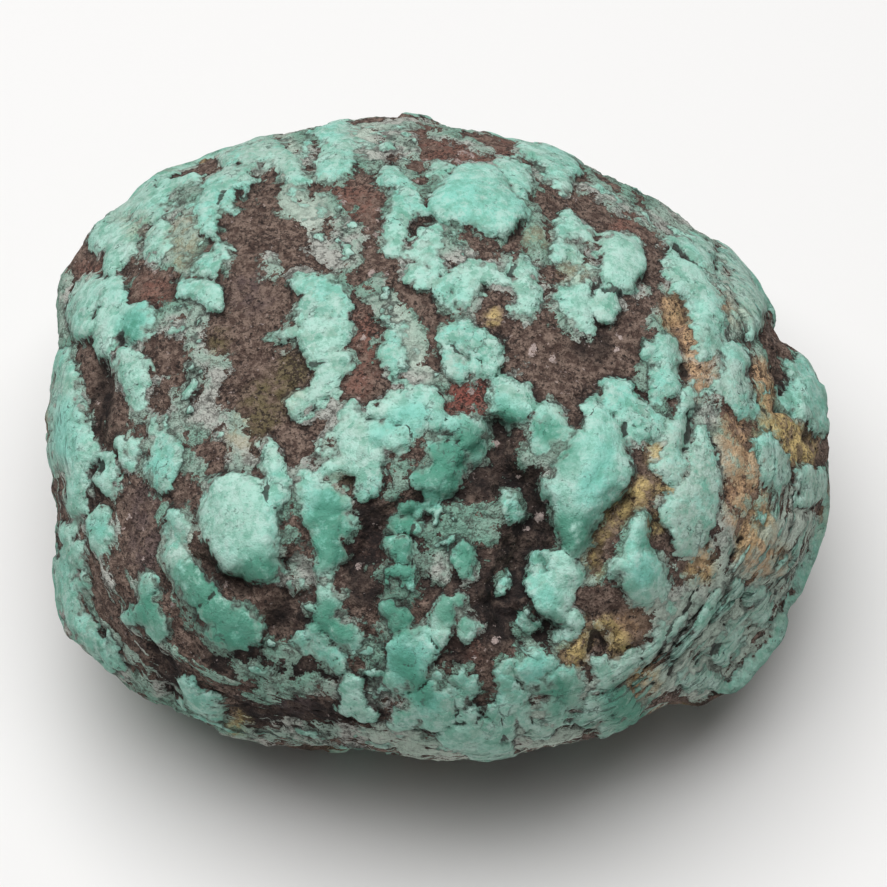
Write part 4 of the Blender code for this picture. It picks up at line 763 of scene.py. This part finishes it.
# %% Heights of the drawn face
PALE_LINE_HEIGHT, GRAIN_HEIGHT = 0.25, 0.18   # these and the next ones in mm
CRACK_DEPTH, FOOT_DEPTH = 0.3, 0.2            # the foot is where a lump meets the rock
BIG_DENT, SMALL_DENT = 0.12, 0.07             # depths of the joins between crumbs


def closeness(chains, full=0.5):
    """1 where a chain is full mm deep or more, fading to 0 at 0.9 mm outside it."""
    return smooth_step(-0.9, full, chain_depth(drawn_at, chains))


def lump_height(depth, step):
    """A worn lump: a side that is steep or easy, then a gentle dome."""
    side = 0.8 - 0.35 * ease
    return step * (side * smooth_step(-0.2, 0.22, depth) + (1 - side) * smooth_step(-0.1, 1.2, depth))


height = np.zeros(len(at))
for across, up, reach, rise in SWELLS:
    height += rise * np.exp(-((at[:, 0] - across) ** 2 + (at[:, 1] - up) ** 2) / reach ** 2)
for depth, line in GROOVES:
    height -= depth * closeness(chains_in(line))
raised = [rise * smooth_step(-0.3, 0.3, chain_depth(drawn_at, chains_in(line))) for rise, line in LEDGES]
raised += [lump_height(high, HIGH_STEP), lump_height(middle, MIDDLE_STEP), lump_height(low, LOW_STEP)]
raised += [
    PALE_LINE_HEIGHT * smooth_step(-0.1, 0.2, pale_lines), GRAIN_HEIGHT * smooth_step(-0.15, 0.15, grains)]
face_height = height + np.maximum.reduce(raised) - MIDDLE_STEP
face_height -= CRACK_DEPTH * smooth_step(-0.12, 0.1, cracks)
edge_gap = (np.maximum(high, middle) + 0.3) / 0.22
face_height -= FOOT_DEPTH * (1 - ease) * np.exp(-edge_gap ** 2)  # deepest where the lump is sheer
firm = np.maximum(smooth_step(0.05, 0.45, high), 0.7 * smooth_step(0.05, 0.45, middle))
dents = BIG_DENT * smooth_step(0.3, 0.0, big_gap) + SMALL_DENT * smooth_step(0.25, 0.0, small_gap)
face_height -= (1 - 0.8 * firm) * dents
lowest = face_height[drawn > 0.9].min()
print("relief of the face from", round(float(lowest), 2), "to", round(float(face_height.max()), 2), "mm")

# %% [markdown]
# ## The far side
# The sides that turn away carry the same kind of lumps, but nobody needs each one in its place.
# There, one field of smooth noise plays the part of the depth: above zero it is turquoise, below it
# is rock. Mixing the two by how far the surface has turned softens the join. From behind it can still
# be found, as the far side is smoother than the drawn one.

# %% The far side's depths and heights
wild = 2.2 * noise_at(form, PATCH, 0, 2)
wild_clean = wild + 0.25 * noise_at(form, 1.3, 11) + 0.1 * fine - 0.7 * smooth_step(-0.2, -0.8, normals[:, 2])
broad = 1.3 * np.array([
    noise.noise(Vector(point) / PATCH * 0.42 + Vector((7.3, 1.1, 4.2))) for point in form])
wild_height = broad + lump_height(wild_clean, MIDDLE_STEP) - MIDDLE_STEP
wild_low = 1.6 * noise_at(form, 3.1, 13, 2) - 0.35
clean = drawn * np.maximum(high, middle) + (1 - drawn) * np.clip(wild_clean, FAR, 1.5)
dull = drawn * low + (1 - drawn) * np.clip(wild_low, FAR, 1)
bare = 1 - smooth_step(-0.1, 0.2, clean)
knobs = 0.4 - np.array([noise.noise(Vector(point) / 1.2, noise_basis="VORONOI_F1") for point in form])
knobs *= 1 - 0.75 * drawn * smooth_step(-0.2, 0.3, high)
grain_size = (0.07 * noise_at(form, 0.5, 15) + 0.13 * noise_at(form, 1.1, 16, 2)) * bare
grain_size += 0.05 * knobs * (1 - bare) + 0.04 * noise_at(form, 0.9, 17) + 0.06 * rolling
print("share of the far side that is turquoise:", round(float((clean[facing < -0.2] > 0).mean()), 2))

# %% [markdown]
# ## Lifting the skin
# The lift is straight out of the surface near the rim. On the open face it is towards the eye, so
# that each lump stays at its place in the drawing whatever its height.
# Then the stone gets its rest: a real nugget stands on three small points, but a small flat is kinder
# to whoever sets it on a shelf. A bisect cuts it, and flat faces close the cut.

# %% The finished skin
turned = smooth_step(0.85, 0.45, facing)[:, None]
push = normals * turned + sight * (1 - turned)
near_rim = 1 - 0.4 * smooth_step(0.5, 0.1, facing)
lift = drawn * near_rim * face_height + (1 - drawn) * wild_height + grain_size
surface = form + push * lift[:, None]
shift = np.array([
    (solid_low[0] + solid_high[0]) / 2 / MM - (surface[:, 0].min() + surface[:, 0].max()) / 2,
    (solid_low[1] + solid_high[1]) / 2 / MM - (surface[:, 1].min() + surface[:, 1].max()) / 2,
    REST_DEPTH])
skin.vertices.foreach_set("co", ((surface + shift) * MM).ravel())
skin.update()
print("moved by mm:", np.round(shift, 3))


# %% What each point of the skin remembers
def remember(name, values):
    """Keeps a number for every point of the skin, for the material to read."""
    layer = skin.attributes.new(name, "FLOAT", "POINT")
    layer.data.foreach_set("value", values.astype(np.float32))


# %% Hollows
def blurred(values, passes):
    """Each point takes the mean of its neighbours, over and over."""
    ends = np.empty(len(skin.edges) * 2, dtype=int)
    skin.edges.foreach_get("vertices", ends)
    one, other = ends.reshape(-1, 2).T
    count = np.bincount(one, minlength=len(values)) + np.bincount(other, minlength=len(values))
    for _ in range(passes):
        total = np.bincount(one, values[other], len(values)) + np.bincount(other, values[one], len(values))
        values = total / count
    return values


hollow = blurred(lift, 14) - lift  # more than 0 where the skin lies below what is round it, in mm
print("deepest hollow, mm:", round(float(hollow.max()), 2))

# %% The skin's memory
for name, values in {
    "clean": clean,
    "dull": np.maximum(dull, np.where(drawn > 0.5, pale_lines + 0.05, FAR)),
    "crack": np.where(drawn > 0.5, cracks, FAR),
    "grain": np.where(drawn > 0.5, grains, FAR),
    "hollow": hollow,
    "upright": mesh_values(skin, "normal")[:, 2],
    "ease": ease,
    "firm": drawn * smooth_step(0.05, 0.45, high),
    "gap": np.minimum(big_gap, small_gap + 0.12) + 0.12 * drawn * firm,
    "deep": drawn * closeness(DEEP) + 0.5 * (1 - drawn),
    "faded_and_lit": drawn * closeness(FADED_AND_LIT),
    "blue": drawn * closeness(BLUE),
    "layered": layered,
}.items():
    remember(name, values)
combed = skin.attributes.new("comb", "FLOAT_VECTOR", "POINT")
combed.data.foreach_set("vector", comb.astype(np.float32).ravel())
for turn, (name, chains) in enumerate(STAINS.items()):
    elsewhere = (1 - drawn) * smooth_step(0.15, 0.6, noise_at(form, 5.0, 20 + turn))
    remember(name, drawn * closeness(chains, 0.4) + elsewhere)

# %% Cut the rest flat
shape = bmesh.new()
shape.from_mesh(skin)
bmesh.ops.bisect_plane(
    shape, geom=shape.verts[:] + shape.edges[:] + shape.faces[:], dist=1e-7,
    plane_co=(0, 0, 0), plane_no=(0, 0, -1), clear_outer=True)
rest = bmesh.ops.contextual_create(shape, geom=[edge for edge in shape.edges if edge.is_boundary])["faces"]
for face in shape.faces:
    face.smooth = True
for face in rest:
    face.smooth = False
    for edge in face.edges:
        edge.smooth = False
shape.to_mesh(skin)
shape.free()
nugget = bpy.data.objects.new("nugget_skin", skin)
bpy.context.scene.collection.objects.link(nugget)
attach(nugget, "root")
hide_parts("turquoise_nugget")
print("faces:", len(skin.polygons), "of which on the flat rest:", len(rest))

# %% [markdown]
# ## Shader maths that reads like arithmetic
# A procedural material is mostly sums, thresholds and mixes. Written out node by node that is hard
# to follow, so a socket gets wrapped in a small class whose operators add the Math nodes.
# Anything that isn't a sum comes from one method, which takes the node's type, its settings and the
# values of its sockets.


# %% A socket that can be reckoned with
class Wire:
    """A number on its way through the material: +, - and * add Math nodes."""

    def __init__(self, tree, socket):
        self.tree, self.socket = tree, socket

    def math(self, operation, *others):
        node = self.tree.nodes.new("ShaderNodeMath")
        node.operation = operation
        for place, value in enumerate(others):
            if isinstance(value, Wire):
                self.tree.links.new(value.socket, node.inputs[place])
            else:
                node.inputs[place].default_value = value
        return Wire(self.tree, node.outputs[0])

    def __add__(self, other):
        return self.math("ADD", self, other)

    def __radd__(self, other):
        return self.math("ADD", other, self)

    def __sub__(self, other):
        return self.math("SUBTRACT", self, other)

    def __rsub__(self, other):
        return self.math("SUBTRACT", other, self)

    def __mul__(self, other):
        return self.math("MULTIPLY", self, other)

    def __rmul__(self, other):
        return self.math("MULTIPLY", other, self)

    def most(self, other):
        return self.math("MAXIMUM", self, other)


class Finish:
    """A material in the making, on one Principled shader."""

    def __init__(self, name):
        self.material = bpy.data.materials.new(name)
        self.material.use_nodes = True
        self.tree = self.material.node_tree
        self.shader = self.tree.nodes["Principled BSDF"]

    def node(self, kind, settings=None, **values):
        """Adds a node: its settings first, then its sockets' values or links, by name."""
        made = self.tree.nodes.new(kind)
        for name, setting in (settings or {}).items():
            setattr(made, name, setting)
        for name, value in values.items():
            self.put(value, made.inputs[name.replace("_", " ")])
        return made

    def put(self, value, socket):
        if isinstance(value, Wire):
            self.tree.links.new(value.socket, socket)
        else:
            socket.default_value = value

    def number(self, name):
        """A value that the skin remembers at every point."""
        made = self.node("ShaderNodeAttribute", {"attribute_name": name})
        return Wire(self.tree, made.outputs["Fac"])

    def noise(self, places, scale, detail, roughness):
        """Noise of 0 to 1."""
        made = self.node("ShaderNodeTexNoise", Vector=places, Scale=scale, Detail=detail, Roughness=roughness)
        return Wire(self.tree, made.outputs["Fac"])

    def blobs(self, places, size, detail=2.0, roughness=0.55):
        """Noise of 0 to 1 whose blobs are about size mm wide."""
        return self.noise(places, 1 / (size * MM), detail, roughness)

    def ramp(self, value, low, high):
        """0 below low, 1 above high, smooth between."""
        made = self.node("ShaderNodeMapRange", {"interpolation_type": "SMOOTHSTEP"},
                         Value=value, From_Min=low, From_Max=high)
        return Wire(self.tree, made.outputs["Result"])

    def mix(self, share, first, second):
        """Colours between the first and the second."""
        made = self.node("ShaderNodeMix", {"data_type": "RGBA"})
        for value, place in ((share, 0), (first, 6), (second, 7)):
            self.put(value, made.inputs[place])
        return Wire(self.tree, made.outputs[2])


def colour(red, green, blue):
    """A colour as it looks, on the scale of 0 to 255, made linear for the shader."""
    parts = [part / 255 for part in (red, green, blue)]
    return tuple(p / 12.92 if p < 0.04045 else ((p + 0.055) / 1.055) ** 2.4 for p in parts) + (1,)


print("mint as the shader sees it:", [round(part, 3) for part in colour(158, 207, 192)[:3]])

# %% [markdown]
# ## Where turquoise ends and rock begins
# The depths that the skin remembers are smooth, so their zero lines are smooth too. A little noise
# added to a depth before it is cut off at zero gives the edge its crumbs, far finer than the
# mesh. The speckled turquoise gets much more noise, so it breaks up into islands.

# %% Noises and masks
stone = Finish("turquoise_in_rock")
places = Wire(stone.tree, stone.node("ShaderNodeTexCoord").outputs["Object"])
layers = stone.node("ShaderNodeAttribute", {"attribute_name": "comb"})
along_layers = Wire(stone.tree, layers.outputs["Vector"])
crumb = stone.blobs(places, 0.9, 4.0, 0.68)
mottles = stone.blobs(places, 1.3, 4.0, 0.66)
dust = stone.blobs(places, 0.24, 2.0, 0.7)
patch = stone.blobs(places, 2.4, 2.0, 0.55)
cloud = stone.blobs(places, 6.0, 1.0, 0.5)
grit = stone.blobs(places, 0.55, 4.0, 0.78)
dots = stone.blobs(places, 0.34, 2.0)
chips = stone.blobs(places, 0.7, 1.5, 0.45)
streaks = stone.noise(along_layers, 1.0, 3.0, 0.66)
layered_here, ease_here, deep, faded_and_lit, hollowed = (
    stone.number(name) for name in ("layered", "ease", "deep", "faded_and_lit", "hollow"))
loose = 1 - 0.75 * stone.number("firm")
smoky = 1 - 0.75 * faded_and_lit


def stirred(value, amount, noise):
    """A value that noise of 0 to 1 pushes up and down."""
    return value + amount * (noise - 0.5)


broken = crumb + layered_here * (streaks - crumb)
depth = stirred(stone.number("clean") + (0.6 + 1.2 * ease_here) * (chips - 0.5), 0.3, dust)
is_clean = stone.ramp(depth, -0.05, 0.06)
dull_depth = stirred(stirred(stone.number("dull"), 2.4, broken), 0.9, dust) + 0.05
is_dull = stone.ramp(dull_depth, -0.06, 0.1)
in_crack = stone.ramp(stirred(stone.number("crack"), 0.25, crumb), -0.03, 0.03)
is_grain = stone.ramp(stirred(stone.number("grain"), 0.7, dust), -0.03, 0.05)

# %% [markdown]
# ## Crumbs
# A lump is made of crumbs under a millimetre wide. Cells do for them, with places bent by noise so
# that no cell has straight sides. The join between two cells is dark, and each cell draws three
# numbers of its own, which make it a little greener, greyer or duller than the next.

# %% Crumbs
CRUMB = 0.75 * MM
BEND = 0.9 * MM

bend = stone.node("ShaderNodeTexNoise", Vector=places, Scale=1 / (0.5 * MM), Detail=2.0)
bent = stone.node("ShaderNodeVectorMath", {"operation": "MULTIPLY_ADD"})
for value, place in ((Wire(stone.tree, bend.outputs["Color"]), 0), ((BEND,) * 3, 1), (places, 2)):
    stone.put(value, bent.inputs[place])
bent = Wire(stone.tree, bent.outputs[0])
edges = stone.node("ShaderNodeTexVoronoi", {"feature": "DISTANCE_TO_EDGE"}, Vector=bent, Scale=1 / CRUMB)
cells = stone.node("ShaderNodeTexVoronoi", {"feature": "F1"}, Vector=bent, Scale=1 / CRUMB)


def drawn_lot(which):
    """A number of 0 to 1 that each crumb draws for itself; which is one of three such numbers."""
    lot = stone.node("ShaderNodeVectorMath", {"operation": "DOT_PRODUCT"})
    stone.put(Wire(stone.tree, cells.outputs["Color"]), lot.inputs[0])
    lot.inputs[1].default_value = [float(place == which) for place in range(3)]
    return Wire(stone.tree, lot.outputs["Value"])


greener, greyer, duller = (drawn_lot(which) for which in range(3))
seams = 1 - stone.ramp(Wire(stone.tree, edges.outputs["Distance"]), 0.02, 0.13)
gaps = 1 - stone.ramp(stirred(stone.number("gap"), 0.5, dust), 0.0, 0.13)

# %% [markdown]
# ## The rock
# The rock is a brown sandstone, so it is made of grains of several browns, some nearly black, with a
# few pale ones. The stains are laid over it, each broken up by the grain so that it looks soaked
# in and not sprayed on.
# Every colour of the stone is made the same way: a base, then thin coats, each with its own mask.

# %% Rock colours
BROWN = colour(84, 67, 60)
LIGHT_BROWN = colour(142, 122, 110)
DARK_BROWN = colour(52, 42, 39)
NEAR_BLACK = colour(32, 28, 27)
QUARTZ = colour(196, 178, 172)
OCHRE = colour(230, 204, 140)
TAN = colour(214, 177, 138)
STAIN_LOOKS = {  # colour, strength, and the least of it that shows
    "red": (colour(150, 88, 78), 0.9, 0.2),
    "rust": (colour(142, 100, 88), 0.7, 0.2),
    "ochre": (OCHRE, 1.0, 0.2),
    "tan": (TAN, 1.0, 0.2),
    "olive": (colour(116, 108, 74), 0.65, 0.2),
    "dark": (colour(36, 29, 28), 1.0, 0.6),
    "dusky": (colour(106, 90, 90), 0.6, 0.2),
}


def painted(base, coats):
    """Lays coats on a base colour, one over another: how much of each shows, then its colour."""
    for share, coat in coats:
        base = stone.mix(share, base, coat)
    return base


soaked = {}
for name, (_, strength, least) in STAIN_LOOKS.items():
    uneven = least + (1 - least) * stone.ramp(stirred(crumb, 0.4, patch), 0.4, 0.58)
    soaked[name] = stone.number(name) * strength * uneven
specked = 1 - 0.35 * soaked["ochre"]
rock = stone.mix(stone.ramp(grit, 0.4, 0.62), BROWN, LIGHT_BROWN)
rock = painted(rock, [(soaked[name], stain) for name, (stain, _, _) in STAIN_LOOKS.items()])
rock = painted(rock, [
    (0.85 * specked * stone.ramp(stirred(dust, 0.5, patch), 0.53, 0.66), DARK_BROWN),
    (0.8 * specked * stone.ramp(dots, 0.6, 0.68), NEAR_BLACK),
    (0.5 * stone.ramp(stone.blobs(places, 0.38, 2.0, 0.7), 0.66, 0.72), QUARTZ),
    (0.85 * is_grain, QUARTZ),
])
print("stains laid over the rock:", len(soaked))

# %% [markdown]
# ## The turquoise
# Crests are pale and chalky: partly worn, as the surface has dried and picked up scratches, and partly
# a painted highlight. Steep sides and sides that face down are painted a deeper green, as painted
# shade. Tiny dark pits, mostly in flocks, go down to the rock.
# The speckled kind is a mix of pale grey-green crumbs with dark joins between them.

# %% Turquoise colours
MINT = colour(172, 216, 201)
CHALK = colour(190, 219, 209)
GREEN = colour(104, 164, 142)
AQUA = colour(142, 208, 192)
PIT = colour(62, 82, 74)
GREY_GREEN = colour(164, 188, 174)
DULL_GREEN = colour(84, 112, 99)
PALE_GREY = colour(190, 192, 184)
DEEP_GREEN = colour(68, 140, 117)
BLUE_GREEN = colour(126, 208, 192)
SMOKE = colour(74, 71, 66)
# a pale grey-green: partly faded ground, partly painted light on the right flank and the rims
WORN_AND_LIT = colour(206, 220, 206)
KHAKI = colour(190, 184, 152)

# painted shade: steep sides and sides that face down get a deeper green
painted_shade_low_side = stone.ramp(stone.number("upright"), 0.78, 0.2)
# partly wear and partly painted highlight: convex crests are made paler and chalkier
worn_and_lit_crest = stone.ramp(hollowed, -0.08, -0.45)
dim = (0.2 + 0.4 * deep) * loose
split = faded_and_lit * layered_here * stone.ramp(streaks, 0.45, 0.37)
pitted = stone.ramp(dots, 0.62, 0.7) * stone.ramp(patch, 0.42, 0.6) * (0.4 + 0.6 * loose)
flocks = loose * stone.ramp(stirred(patch, 0.5, crumb), 0.55, 0.68)
seamed = seams * (0.8 * stone.ramp(depth, 0.45, 0.05)).most(flocks) * stone.ramp(crumb, 0.44, 0.56)
turquoise = painted(stone.mix(stone.ramp(cloud, 0.35, 0.65), MINT, AQUA), [
    (0.45 * painted_shade_low_side, GREEN),
    (0.3 * stone.ramp(patch, 0.5, 0.66), GREEN),
    (0.5 * stone.ramp(mottles, 0.51, 0.61), GREEN),
    (0.6 * loose * stone.ramp(stirred(greener, 0.8, mottles), 0.6, 0.85), GREEN),
    (0.4 * loose * stone.ramp(stirred(greyer, 0.8, mottles), 0.7, 0.9), GREY_GREEN),
    # partly wear and partly painted light: the paler bands turn grey-green
    (0.85 * faded_and_lit * stone.ramp(broken, 0.36, 0.56), GREY_GREEN),
    (dim * stone.ramp(stirred(duller, 0.9, crumb), 0.7, 0.9), DULL_GREEN),
    (0.45 * worn_and_lit_crest, CHALK),
    (0.4 * stone.ramp(grit, 0.51, 0.65), CHALK),
    (0.5 * stone.ramp(crumb, 0.48, 0.62), CHALK),
    (0.65 * stone.number("blue"), BLUE_GREEN),
    (0.45 * stone.ramp(grit, 0.5, 0.38), GREEN),
    (0.85 * deep * stone.ramp(stirred(crumb, 0.5, patch), 0.25, 0.5), DEEP_GREEN),
    (0.45 * stone.ramp(depth, 0.45, 0.0) * ease_here, GREY_GREEN),
    (0.5 * split, SMOKE),
    (0.6 * soaked["olive"], KHAKI),
    (0.8 * pitted, PIT),
    (0.6 * seamed, PIT),
    (0.5 * gaps * stone.ramp(stirred(crumb, 0.6, patch), 0.44, 0.6), PIT),
    # painted shade: a thin dark rim just inside each lump's edge
    (0.35 * stone.ramp(depth, 0.2, 0.02), PIT),
])
speckled = painted(stone.mix(stone.ramp(stirred(patch, 0.4, crumb), 0.42, 0.6), GREY_GREEN, PALE_GREY), [
    (0.6 * stone.ramp(stirred(cloud, 0.5, crumb), 0.44, 0.6), GREEN),
    # partly wear and partly painted light: the paler bands of speckled ground get a pale colour
    (0.75 * faded_and_lit, WORN_AND_LIT),
    (0.5 * deep, DULL_GREEN),
    (0.45 * layered_here * stone.ramp(streaks, 0.46, 0.38), SMOKE),
    (0.6 * smoky * seams * stone.ramp(crumb, 0.46, 0.56), SMOKE),
    (0.7 * smoky * gaps * stone.ramp(crumb, 0.4, 0.5), SMOKE),
    (0.65 * smoky * stone.ramp(stirred(dust, 0.6, crumb), 0.55, 0.66), SMOKE),
    (0.8 * soaked["ochre"], OCHRE),
    (0.8 * soaked["tan"], TAN),
    (0.8 * soaked["olive"], KHAKI),
])
print("nodes so far:", len(stone.tree.nodes))

# %% [markdown]
# ## Everything together
# Rock lies lowest, speckled turquoise over it and clean turquoise over both. Cracks are then
# darkened as dark lines, and the foot of every lump and the hollows get painted shade.
# The finest relief is left to a bump: it is coarse on the rock and slight on the worn lumps.

# %% Colour, roughness and relief
ROCK_ROUGHNESS = 0.9
LUMPS_SMOOTHER = 0.22
RELIEF = 0.18 * MM
SHINE = 0.3

crack_colour = stone.mix(stone.ramp(grit, 0.4, 0.6), NEAR_BLACK, DARK_BROWN)
# painted shade: a dark band round the foot of each clean lump, weaker where the lump eases into the rock
painted_shade_at_lump_foot = stone.ramp(depth, -0.3, -0.06) * (1 - is_clean) * (1 - 0.6 * ease_here)
# painted shade: a fainter dark band round the foot of each speckled crumb
painted_shade_at_crumb_foot = stone.ramp(dull_depth, -0.35, -0.08) * (1 - is_dull) * (1 - is_clean)
skin_colour = painted(rock, [
    (is_dull, speckled),
    (is_clean, turquoise),
    (0.85 * in_crack, crack_colour),
    (0.8 * painted_shade_at_lump_foot, NEAR_BLACK),
    (0.4 * painted_shade_at_crumb_foot, NEAR_BLACK),
    # painted shade: the hollows are darkened, less where the turquoise is paler
    (0.55 * smoky * stone.ramp(hollowed, 0.05, 0.45), NEAR_BLACK),
])
rock_relief = 2.2 * grit + 1.1 * dust
lump_relief = 0.6 * grit + 0.5 * dust - 0.3 * gaps - 0.8 * split + 1.0
relief = (1 - is_clean) * rock_relief + is_clean * lump_relief
bump = stone.node("ShaderNodeBump", Strength=1.0, Distance=RELIEF, Height=relief)
stone.put(skin_colour, stone.shader.inputs["Base Color"])
stone.put(ROCK_ROUGHNESS - LUMPS_SMOOTHER * is_clean, stone.shader.inputs["Roughness"])
stone.put(Wire(stone.tree, bump.outputs["Normal"]), stone.shader.inputs["Normal"])
stone.shader.inputs["Specular IOR Level"].default_value = SHINE
skin.materials.append(stone.material)
print("nodes in the stone's material:", len(stone.tree.nodes))

# %% [markdown]
# ## Floor, light and camera
# A matt, nearly white floor throws soft light back up under the stone. One big soft lamp stands
# behind and to the left, so the lumps' near sides fall into gentle shade, and a pale sky fills in.
# The camera looks straight at the best face from a quarter of a metre away, through a long lens.

# %% Floor and lights
FLOOR_HALF = 0.6
LAMP_AT = (-0.05, 0.045, 0.46)
LAMP_WIDTH = 0.5
LAMP_POWER = 2.96
SKY = 0.1
SKY_COLOUR = (1, 0.99, 0.975, 1)
FLOOR_COLOUR = (0.862, 0.854, 0.848, 1)


def floor_plane():
    """A wide matt sheet under the stone; it belongs to the stage and not to the part."""
    shape = bmesh.new()
    bmesh.ops.create_grid(shape, x_segments=1, y_segments=1, size=FLOOR_HALF)
    mesh = bpy.data.meshes.new("floor")
    shape.to_mesh(mesh)
    shape.free()
    plane = bpy.data.objects.new("floor", mesh)
    bpy.context.scene.collection.objects.link(plane)
    paper = Finish("pale_floor")
    for name, value in (("Base Color", FLOOR_COLOUR), ("Roughness", 0.9), ("Specular IOR Level", 0.1)):
        paper.shader.inputs[name].default_value = value
    mesh.materials.append(paper.material)


floor_plane()
lamp = bpy.data.objects.new("soft_lamp", bpy.data.lights.new("soft_lamp", "AREA"))
lamp.data.size = LAMP_WIDTH
lamp.data.energy = LAMP_POWER
lamp.location = LAMP_AT
lamp.rotation_euler = (-Vector(LAMP_AT)).to_track_quat("-Z", "Y").to_euler()
bpy.context.scene.collection.objects.link(lamp)
sky = bpy.data.worlds.new("pale_sky")
sky.use_nodes = True
glow = sky.node_tree.nodes["Background"]
glow.inputs["Color"].default_value = SKY_COLOUR
glow.inputs["Strength"].default_value = SKY
bpy.context.scene.world = sky
bpy.context.scene.view_settings.view_transform = "Standard"
print("lamp at", LAMP_AT)

# %% Camera
PICTURE_WIDTH = 58.76        # mm of the stone's middle plane that fill the picture
AIM = (0.265, -0.497)        # the picture's centre, across and up the face
SENSOR = 36.0

camera = bpy.data.objects.new("camera", bpy.data.cameras.new("camera"))
rise, lie = math.sin(FACE_RISE), math.cos(FACE_RISE)
aim_at = shift + (AIM[0], AIM[1] * rise, AIM[1] * lie)
eye_at = shift + np.array((0, -SIGHT * lie, SIGHT * rise))
camera.location = Vector(eye_at * MM)
camera.rotation_euler = Vector((aim_at - eye_at) * MM).to_track_quat("-Z", "Y").to_euler()
camera.data.sensor_width = SENSOR
camera.data.lens = SENSOR * SIGHT / PICTURE_WIDTH
camera.data.clip_start = 0.01
bpy.context.scene.collection.objects.link(camera)
bpy.context.scene.camera = camera
print("lens, mm:", round(camera.data.lens, 1))
